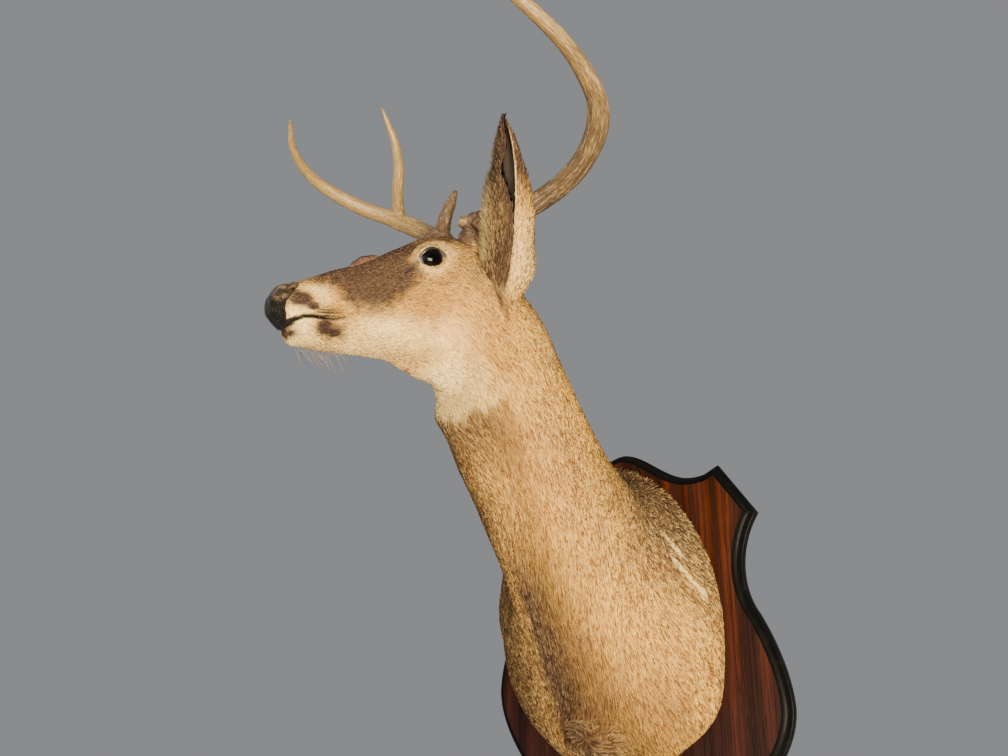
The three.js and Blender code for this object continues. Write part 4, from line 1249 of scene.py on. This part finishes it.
def antler(name, parts, nodes, seed):
    """Joins the branches of one antler into one skin, and notes how its bone runs at each point."""
    bpy.ops.object.select_all(action="DESELECT")
    pieces, samples = [], []
    for number, part in enumerate(parts):
        spots, radii, (foot, top) = BRANCHES[part]
        line, along = smooth_route(spots, ROUTE_STEP)
        sides, others = tube_frames(line)
        share = along / along[-1]
        radius = along_table(radii, share)
        for _ in range(3):
            radius[1:-1] = (radius[:-2] + 2 * radius[1:-1] + radius[2:]) / 4
        worn = foot + (top - foot) * share
        angle = np.linspace(0, 2 * math.pi, ANTLER_SIDES + 1)[:-1]
        relief = bone_relief(along[:, None], angle, worn[:, None], seed + number, part in BURRED)
        reach = (radius[:, None] * (1 + relief))[..., None]
        across = sides[:, None] * np.cos(angle)[:, None] + others[:, None] * np.sin(angle)[:, None]
        grid = line[:, None] + across * reach
        _, _, outwards = grid_frame(grid)
        pieces.append(grid_mesh(part, grid, outwards=outwards))
        samples.append((line, radius, worn, along, sides, others))
    for piece in pieces:
        piece.select_set(True)
    bone = pieces[0]
    bpy.context.view_layer.objects.active = bone
    bpy.ops.object.join()
    bone.name = bone.data.name = name
    remesh = bone.modifiers.new("one skin", "REMESH")
    remesh.mode, remesh.voxel_size = "VOXEL", VOXEL * MM
    bpy.ops.object.modifier_apply(modifier=remesh.name)
    smooth = bone.modifiers.new("worn", "SMOOTH")
    smooth.factor, smooth.iterations = 0.5, 2
    bpy.ops.object.modifier_apply(modifier=smooth.name)
    bone.select_set(False)
    shade_smooth(bone.data)

    places = points_of(bone) / MM
    line, radius, worn, along, sides, others = (np.concatenate(column) for column in zip(*samples))
    nearest = np.empty(len(places), int)
    for first in range(0, len(places), NEAREST_BLOCK):
        block = places[first : first + NEAREST_BLOCK]
        gap = ((block[:, None] - line) ** 2).sum(-1) / radius**2
        nearest[first : first + NEAREST_BLOCK] = gap.argmin(1)
    arm = places - line[nearest]
    depth = np.linalg.norm(arm, axis=1) / radius[nearest]
    runs = (
        worn[nearest],
        np.clip(1.02 - depth, 0, 0.2) * 5,
        (arm * sides[nearest]).sum(1),
        (arm * others[nearest]).sum(1),
        along[nearest],
    )
    paint(bone, dict(zip(BONE_RUNS, runs)))
    bone.data.materials.append(antler_bone)
    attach(bone, "root")
    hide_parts(*nodes)


# What is stored on the bone: its wear, how far it lies in a furrow, and its place across and along.
BONE_RUNS = ("worn", "hollow", "round_x", "round_y", "up_beam")
antler_bone, wire, shader = new_material("antler bone", Coat_Roughness=0.3)
here = wire.place()
worn, hollow, round_x, round_y, up_beam = (wire.stored(run) for run in BONE_RUNS)
grain_lines = wire.node("CombineXYZ", {}, {0: round_x, 1: round_y, 2: up_beam * 0.07})
streak = wire.noise(grain_lines, 0.55, 3.0)
hairline = wire.noise(grain_lines, 1.7, 2.0)
mottle = wire.noise(here, 34.0, 4.0)
pits = wire.noise(here, 420.0, 2.0)
polished = (worn + (mottle - 0.5) * 0.3).step(0.10, 0.85)
bone_colour = polished.mix((0.100, 0.060, 0.027), (0.330, 0.195, 0.052))
rooted = (worn + (mottle - 0.5) * 0.14).step(0.24, 0.02).mix(bone_colour, (0.062, 0.027, 0.010))
pale_share = streak.step(0.50, 0.62) * (1 - hollow * 0.8) * worn.step(0.0, 0.12) * 0.75
pale_streak = pale_share.mix(rooted, (0.430, 0.310, 0.135))
dark_streak = (hairline.step(0.46, 0.56) * (0.95 - polished * 0.5)).mix(pale_streak, (0.060, 0.032, 0.014))
feed(
    shader,
    Base_Color=(hollow.step(0.25, 0.8) * (0.9 - polished * 0.55)).mix(dark_streak, (0.045, 0.020, 0.008)),
    Roughness=0.60 - polished * 0.22,
    Coat_Weight=polished * 0.15,
    Normal=wire.bump(streak + hairline * 0.5 + pits * 0.35, 0.0010, 0.55),
)
antler(
    "antler_left",
    ("left_stump", "left_beam", "left_brow_stub"),
    ("antler_left_beam", "antler_left_brow_stub"),
    2,
)
antler(
    "antler_right",
    ("right_stump", "right_base", "right_front_beam", "right_rear_tine", "right_brow_tine"),
    ("antler_right_base", "antler_right_front_beam", "antler_right_rear_tine", "antler_right_brow_tine"),
    5,
)


# ------------------------------------------------------------------ the coat
# The hair itself: flat, pointed tufts that lie back along the body like roof shingles. They are
# short and close on the face, longer down the neck, and turn in a whorl on the brisket.
TUFT_LENGTH = [
    [0, 11], [4, 12], [7, 12], [8.5, 10.5], [10, 8], [12, 5], [14, 5], [15.5, 3.8], [18, 2.6],
]
TUFT_WIDTH = [[0, 0.78], [6, 0.74], [8.5, 0.68], [10, 0.60], [12, 0.55], [14, 0.46], [18, 0.38]]
WHORL_CENTRE, WHORL_REACH = np.array([12, -156, -92.0]), 34.0
DOWN = np.array([0, 0, -1.0])
# The side of each tuft's place on the unwrap, and the share of the unwrap that is used.
PATCH, MAP_SHARE, MAP_EDGE = 0.003, 0.98, 0.005
CORNERS = 4
ROOT_DEPTH = 0.5
BOARD_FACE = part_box("board")[0].y / MM - 0.3


def tuft_faces(count):
    """Faces of many tufts, each with two root corners, a ridge and a tip."""
    pattern = np.array([(1, 0, 2), (1, 2, 3), (0, 3, 2), (0, 1, 3)])
    return (np.arange(count)[:, None, None] * CORNERS + pattern).reshape(-1, 3)


def tuft_mesh(name, roots, normals_at, lies, length, width, lift, tones, spots, rng):
    """One piece of coat: a closed four-sided sliver for each root, bent over in its lie. Each one's
    place on the unwrap is given as shares of it, from 0 to 1."""
    count = len(roots)
    length = length * rng.uniform(0.72, 1.25, count)
    width = width * rng.uniform(0.7, 1.3, count)
    swing = rng.normal(0, 0.10, count)
    across = unit(np.cross(normals_at, lies))
    lies = unit(lies + across * swing[:, None])
    across = unit(np.cross(normals_at, lies))
    rise = lift * rng.uniform(0.55, 1.15, count)
    sunk = roots - normals_at * ROOT_DEPTH
    corners = np.stack(
        [
            sunk - across * (width / 2)[:, None],
            sunk + across * (width / 2)[:, None],
            roots + lies * (length * 0.42)[:, None] + normals_at * (rise * 1.05 + 0.15)[:, None],
            roots + lies * length[:, None] + normals_at * (rise * 0.75)[:, None],
        ],
        1,
    )
    corners[..., 1] = np.minimum(corners[..., 1], BOARD_FACE)
    mesh = bpy.data.meshes.new(name)
    faces = tuft_faces(count)
    mesh.vertices.add(count * CORNERS)
    mesh.vertices.foreach_set("co", (corners * MM).astype(np.float32).ravel())
    mesh.loops.add(len(faces) * 3)
    mesh.loops.foreach_set("vertex_index", faces.ravel().astype(np.int32))
    mesh.polygons.add(len(faces))
    mesh.polygons.foreach_set("loop_start", np.arange(0, len(faces) * 3, 3, dtype=np.int32))
    shade_smooth(mesh)
    mesh.update(calc_edges=True)
    slant = across * 0.16
    shading = np.stack([normals_at - slant, normals_at + slant, normals_at, normals_at], 1)
    shading = unit(shading + rng.normal(0, 0.07, (count, 1, 3)))
    mesh.normals_split_custom_set_from_vertices(shading.reshape(-1, 3).tolist())
    coat = put(name, mesh)
    tones = {**tones, "strand": rng.beta(0.6, 0.6, count)}
    paint(coat, {tone: np.repeat(values, CORNERS) for tone, values in tones.items()})
    paint(coat, {"tip": np.tile([0.0, 0.0, 0.6, 1.0], count)})
    patch = np.array([(0, 0), (1, 0), (0.5, 0.5), (0.5, 1)]) * PATCH
    spots = spots * MAP_SHARE + MAP_EDGE
    bake_map(coat, (spots[:, None] + patch).reshape(-1, 2)[faces.ravel()])
    coat.data.materials.append(coat_hair)
    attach(coat, "root")


def pick(weight, count, rng):
    """Random places on a grid by weight: fractional rows and columns."""
    edges = np.cumsum(weight.ravel())
    cell = np.minimum(np.searchsorted(edges, rng.uniform(0, edges[-1], count)), weight.size - 1)
    row, column = np.unravel_index(cell, weight.shape)
    return row + rng.uniform(0, 1, count), column + rng.uniform(0, 1, count)


def read(grid, row, column):
    """A grid's values between its points, going round in columns."""
    low_row = np.minimum(row.astype(int), grid.shape[0] - 2)
    low_column = column.astype(int) % grid.shape[1]
    next_column = (low_column + 1) % grid.shape[1]
    down, beside = row - low_row, column - np.floor(column)
    if grid.ndim == 3:
        down, beside = down[:, None], beside[:, None]
    upper = grid[low_row, low_column] * (1 - beside) + grid[low_row, next_column] * beside
    lower = grid[low_row + 1, low_column] * (1 - beside) + grid[low_row + 1, next_column] * beside
    return upper * (1 - down) + lower * down


skin_facing, _, _ = grid_frame(hide)
round_side = np.roll(hide, -1, 1)[:-1] - hide[:-1]
cell_area = np.linalg.norm(np.cross(round_side, hide[1:] - hide[:-1]), axis=-1)


def coat_lies(places, facing, position, backward):
    """The way that the hair lies at each root."""
    gravity = ease(position, 7.6, 5.0)[:, None] * 0.55
    lie = backward + DOWN * gravity
    arm = places - WHORL_CENTRE
    spin = np.exp(-((np.linalg.norm(arm, axis=1) / WHORL_REACH) ** 2))[:, None]
    swirl = unit(arm + np.cross(facing, arm) * 1.2)
    lie = lie * (1 - spin) + swirl * spin * 1.6
    head = to_head(places)
    for side in (1, -1):
        arm = head - EYE_CENTRES[0 if side > 0 else 1]
        out = unit(arm @ HEAD_AXES)
        near = np.exp(-((np.linalg.norm(arm, axis=1) / 26) ** 2))[:, None] * (head[:, 1:2] * side > 0)
        lie = unit(lie) * (1 - near * 0.75) + out * near * 0.75
    x, y, z = places.T
    wander = np.stack([np.sin(z / 23 + x / 31), np.sin(y / 27), np.sin(x / 19 + y / 37)], 1)
    lie = unit(lie) + wander * 0.10
    return unit(lie - dot(lie, facing) * facing)


def coat_piece(name, first, last, count, seed):
    """The coat over one stretch of the body."""
    rng = np.random.default_rng(seed)
    within_rows = (positions[:-1] >= first) & (positions[:-1] < last)
    weight = cell_area * within_rows[:, None] * coat_share[:-1]
    row, column = pick(weight, count, rng)
    places = read(hide, row, column)
    facing = unit(read(skin_facing, row, column))
    where = read(position_of, row, column)
    lie = coat_lies(places, facing, where, -read(forwards, row, column))
    by_eye = ease(read(eye_gap_grid, row, column), 2, 22)
    by_mouth = ease(read(mouth_gap_grid, row, column), 1, 6)
    length = along_table(TUFT_LENGTH, where) * (0.35 + 0.65 * by_eye) * (0.45 + 0.55 * by_mouth)
    width = along_table(TUFT_WIDTH, where) * (0.6 + 0.4 * by_eye)
    lift = along_table(COAT_DEPTH, where) * 0.5
    turn = np.interp(column, np.arange(len(angles) + 1), np.append(angles, angles[0] + 2 * math.pi))
    tones = {tone: read(hide_tones[tone], row, column) for tone in TONES}
    spots = np.stack([(turn + math.pi / 2) / (2 * math.pi), where / (NOSE_TIP + 1)], 1)
    tuft_mesh(name, places, facing, lie, length, width, lift, tones, spots, rng)


# No tuft grows on the bare skin, in the eyes or on the nose pad, and those next to them are short.
FAR_OFF = 60.0
eye_gap_grid, mouth_gap_grid = np.full((2, *position_of.shape), FAR_OFF)
head_places = to_head(hide)
for side in (1, -1):
    _, _, distance, edge = eye_plane(head_places, side)
    eye_gap_grid = np.minimum(eye_gap_grid, np.where(edge < 1.12, -1, distance - EYE_RADIUS))
    mouth_gap_grid = np.minimum(mouth_gap_grid, off_line(head_places, MOUTH_LINE, side)[0][..., 0])
coat_share = (hide_tones["bare"] < 0.35) * (eye_gap_grid > 0) * ease(past_pad_edge(head_places), 0.4, -0.4)
coat_hair = coat_paint("hair tufts", 0.5)
# Each stretch of the coat: its two ends as positions along the body, and how many tufts it has.
STRETCHES = [
    ("shoulder_low", 0.0, 2.2, 37000),
    ("shoulder_high", 2.2, 3.6, 35000),
    ("neck_low", 3.6, 4.7, 34000),
    ("neck_mid", 4.7, 6.0, 35000),
    ("neck_high", 6.0, 8.0, 37000),
    ("head_back", 8.0, 9.6, 37000),
    ("head_mid", 9.6, 11.3, 40000),
    ("cheeks", 11.3, 13.0, 36000),
    ("muzzle", 13.0, 17.9, 37000),
]
for seed, (name, first, last, count) in enumerate(STRETCHES):
    coat_piece("coat_" + name, first, last, count, 100 + seed)


# The middle of the long hair on an ear, as a turn from the flap's edge, and its hair's length.
EAR_FRONT = 1.55
EAR_TUFT_LENGTH = [[-0.16, 13], [0, 11], [0.2, 8], [0.8, 5.5], [1, 3.5]]


def ear_coat(label, seed):
    """Short hair over one ear, long and ragged along its front, and hair inside its cup painted dark brown
    as the shade in there.
    """
    rng = np.random.default_rng(seed)
    shares, turn, from_flap, outer_skin, inner_skin, lie, outwards, ear_shades = ear_grids[label]
    round_side, up_side = np.diff(outer_skin, axis=1)[:-1], np.diff(outer_skin, axis=0)[:, :-1]
    cells = np.linalg.norm(np.cross(round_side, up_side), axis=-1)
    up, flap = shares[:-1, None] + 0 * cells, from_flap[:-1, :-1]
    front = np.exp(-(((flap - EAR_FRONT) / 0.45) ** 2)) * ease(up, 0.98, 0.8)
    for name, skin, count, weight in (
        ("ear_coat_" + label, outer_skin, 15000, cells * (1 + front)),
        ("ear_lining_" + label, inner_skin, 2600, cells * ease(flap, 1.5, 0.3) * ease(up, 0.1, 0.3)),
    ):
        inside = skin is inner_skin
        row, column = pick(weight, count, rng)
        places, rising = read(skin, row, column), read(lie, row, column)
        facing = unit(read(outwards, row, column)) * (-1 if inside else 1)
        share = read(shares[:, None] + 0 * turn, row, column)
        fringe = np.exp(-(((read(from_flap, row, column) - EAR_FRONT) / 0.40) ** 2))
        fringe = fringe * ease(share, 0.02, 0.2) * ease(share, 0.95, 0.7)
        lies = unit(rising + facing * (0.10 + 0.55 * fringe)[:, None] + rng.normal(0, 0.10, places.shape))
        length = along_table(EAR_TUFT_LENGTH, share) * (1 + 1.1 * fringe)
        width = along_table([[-0.16, 0.95], [0.3, 0.75], [1, 0.5]], share) * (1 - 0.35 * fringe)
        lift = along_table([[-0.16, 2.6], [0.3, 1.5], [1, 0.8]], share)
        tones = {tone: read(ear_shades[tone], row, column) for tone in TONES}
        if inside:
            lies = unit(rising + facing * 0.3 + rng.normal(0, 0.15, places.shape))
            length, lift, tones["bare"] = length * 1.3, lift * 1.6, tones["bare"] * 0
        tones["pale"] = np.maximum(tones["pale"], fringe * 0.55)
        tones["brown"] = tones["brown"] * (1 - fringe * 0.5)
        spots = np.stack([column / EAR_STEPS, row / len(shares)], 1)
        tuft_mesh(name, places, facing, lies, length, width, lift, tones, spots, rng)


for seed, label in enumerate(EARS):
    ear_coat(label, 300 + seed)


# ------------------------------------------------------------------ whiskers, lashes and torn skin
# Single stiff hairs stand out round the mouth and over the eye. On the bridge of the nose a strip
# of the dried hide has come loose and curls up.
def bristles(name, roots, starts, ends, length, thick, paint_with):
    """Single hairs as thin three-sided tubes that bend from a starting to an ending direction."""
    count, rings = len(roots), 6
    steps = np.linspace(0, 1, rings)[None, :, None]
    heading = unit(starts)[:, None] * (1 - steps) + unit(ends)[:, None] * steps
    line = roots[:, None] + np.cumsum(unit(heading), 1) * (length / rings)[:, None, None]
    side = unit(np.cross(heading, (0.3, 0.5, 0.8)))
    other = unit(np.cross(heading, side))
    taper = thick[:, None, None] * (1 - steps * 0.85)
    spokes = [line + (side * math.cos(a) + other * math.sin(a)) * taper for a in (0, 2.1, 4.2)]
    grid = np.stack(spokes, 2)
    corners = grid.reshape(-1, 3)
    faces = []
    for hair in range(count):
        base = hair * rings * 3
        for ring in range(rings - 1):
            for k in range(3):
                a, b = base + ring * 3 + k, base + ring * 3 + (k + 1) % 3
                faces.append((a, b, b + 3, a + 3))
        faces += [(base + 2, base + 1, base), tuple(base + (rings - 1) * 3 + k for k in range(3))]
    mesh = bpy.data.meshes.new(name)
    mesh.from_pydata((corners * MM).tolist(), [], faces)
    hairs = put(name, mesh)
    shade_smooth(mesh)
    strand = rng.uniform(0, 1, count).repeat(rings * 3)
    paint(hairs, {"strand": strand, "tip": np.tile(np.arange(rings).repeat(3), count) / (rings - 1)})
    mesh.materials.append(paint_with)
    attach(hairs, "root")


bristle_paint, wire, shader = new_material("stiff hair", Specular_IOR_Level=0.3)
strand, tip = wire.stored("strand"), wire.stored("tip")
feed(
    shader,
    Base_Color=strand.step(0.25, 0.5).mix((0.020, 0.012, 0.008), (0.420, 0.270, 0.140)),
    Roughness=0.45 + tip * 0.1,
)

lash_paint, wire, shader = new_material("black lashes", Specular_IOR_Level=0.3)
strand = wire.stored("strand")
feed(
    shader,
    Base_Color=strand.mix((0.004, 0.003, 0.003), (0.020, 0.014, 0.010)),
    Roughness=0.4 + strand * 0.1,
)


def nearest_on_hide(spots):
    """The points of the face nearest to some spots of the head, and the way that they face."""
    face_places = hide[face_rows].reshape(-1, 3)
    face_facing = skin_facing[face_rows].reshape(-1, 3)
    targets = from_head(spots)
    found = np.array([((face_places - target) ** 2).sum(1).argmin() for target in targets])
    return face_places[found], face_facing[found]


rng = np.random.default_rng(77)
forward_axis, left_axis, up_axis = HEAD_AXES
CHIN_HAIRS, LIP_HAIRS, LASHES = 46, 22, 42
across_chin = [rng.uniform(104, 146, CHIN_HAIRS), rng.uniform(-17, 17, CHIN_HAIRS)]
roots, facing = nearest_on_hide(np.stack([*across_chin, np.full(CHIN_HAIRS, -84.0)], 1))
starts = facing * 0.9 - forward_axis * rng.uniform(0.2, 0.9, (CHIN_HAIRS, 1))
starts = starts + rng.normal(0, 0.18, (CHIN_HAIRS, 3))
ends = starts - up_axis * 0.4 - forward_axis * 0.5 + rng.normal(0, 0.3, (CHIN_HAIRS, 3))
length, thick = rng.uniform(9, 34, CHIN_HAIRS), rng.uniform(0.13, 0.24, CHIN_HAIRS)
bristles("chin_whiskers", roots, starts, ends, length, thick, bristle_paint)

for side, label in ((1, "left"), (-1, "right")):
    ahead, sideways = rng.uniform(116, 148, LIP_HAIRS), np.full(LIP_HAIRS, 26.0 * side)
    roots, facing = nearest_on_hide(np.stack([ahead, sideways, rng.uniform(-56, -38, LIP_HAIRS)], 1))
    starts = facing + rng.normal(0, 0.2, (LIP_HAIRS, 3))
    ends = facing * 0.6 - forward_axis * 0.7 - up_axis * 0.4 + rng.normal(0, 0.2, (LIP_HAIRS, 3))
    length, thick = rng.uniform(8, 22, LIP_HAIRS), rng.uniform(0.10, 0.18, LIP_HAIRS)
    bristles("lip_whiskers_" + label, roots, starts, ends, length, thick, bristle_paint)

    front, above, gaze, centre = eye_axes(side)
    turn = rng.uniform(0.25, 0.88, LASHES) * math.pi
    ray = np.cos(turn)[:, None] * LID_LENGTH * front + np.sin(turn)[:, None] * (UPPER_LID + 0.05) * above
    ray = unit(ray + gaze * np.sqrt(np.maximum(1 - (ray**2).sum(1), 0.05))[:, None])
    roots = from_head(centre + ray * (EYE_RADIUS + 2.1))
    fan = (np.cos(turn)[:, None] * 0.5 * front + above * 0.45 + gaze) @ HEAD_AXES
    starts = fan + rng.normal(0, 0.10, (LASHES, 3))
    ends = starts + up_axis * 0.1 - forward_axis * 0.35
    length, thick = rng.uniform(4.5, 8, LASHES), np.full(LASHES, 0.14)
    bristles("lashes_" + label, roots, starts, ends, length, thick, lash_paint)

# The loose strip: a thin sheet hinged along the ridge of the bridge, its raw side outwards.
STRIP_ROWS, STRIP_STEPS, HALF_THICK = 37, 13, 0.45
strip_run = np.linspace(0, 1, STRIP_ROWS)
strip_curl = np.linspace(0, 1, STRIP_STEPS)
hinge = np.stack([90 - 35 * strip_run, np.full(STRIP_ROWS, 13.0), 2 + 16 * strip_run], 1)
roots, facing = nearest_on_hide(hinge)
height = 14.0 * np.sin(np.pi * strip_run) ** 0.6 * (1 + 0.04 * np.sin(strip_run * 17))
curl = 0.05 + 1.25 * strip_curl
rise, over = np.cumsum(np.cos(curl) / STRIP_STEPS), np.cumsum(np.sin(curl) / STRIP_STEPS)
sheet = (
    roots[:, None]
    - facing[:, None] * 1.5
    + up_axis * (height[:, None] * rise)[..., None]
    - left_axis * (height[:, None] * over * 0.8)[..., None]
)
half_wall = unit(np.cross(np.gradient(sheet, axis=0), np.gradient(sheet, axis=1))) * HALF_THICK
closed = np.concatenate([sheet + half_wall, (sheet - half_wall)[:, ::-1]], 1)
_, _, strip_winds_out = grid_frame(closed)
strip = grid_mesh("loose_strip", closed, outwards=strip_winds_out)
edge_share = np.concatenate([strip_curl, strip_curl[::-1]])
paint(strip, {"fringe": np.tile(ease(edge_share, 0.45, 0.8), (STRIP_ROWS, 1))})
rawhide, wire, shader = new_material("dried hide", Specular_IOR_Level=0.3)
here = wire.place()
blotch = wire.noise(here, 120.0, 4.0)
rawness = wire.noise(here, 500.0, 3.0)
fringe = wire.stored("fringe")
raw = blotch.step(0.35, 0.7).mix((0.080, 0.036, 0.021), (0.210, 0.105, 0.062))
feed(
    shader,
    Base_Color=(fringe * (0.4 + rawness)).mix(raw, (0.030, 0.016, 0.009)),
    Roughness=0.55 + rawness * 0.2,
    Normal=wire.bump(rawness, 0.0006, 0.8),
)
strip.data.materials.append(rawhide)
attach(strip, "root")
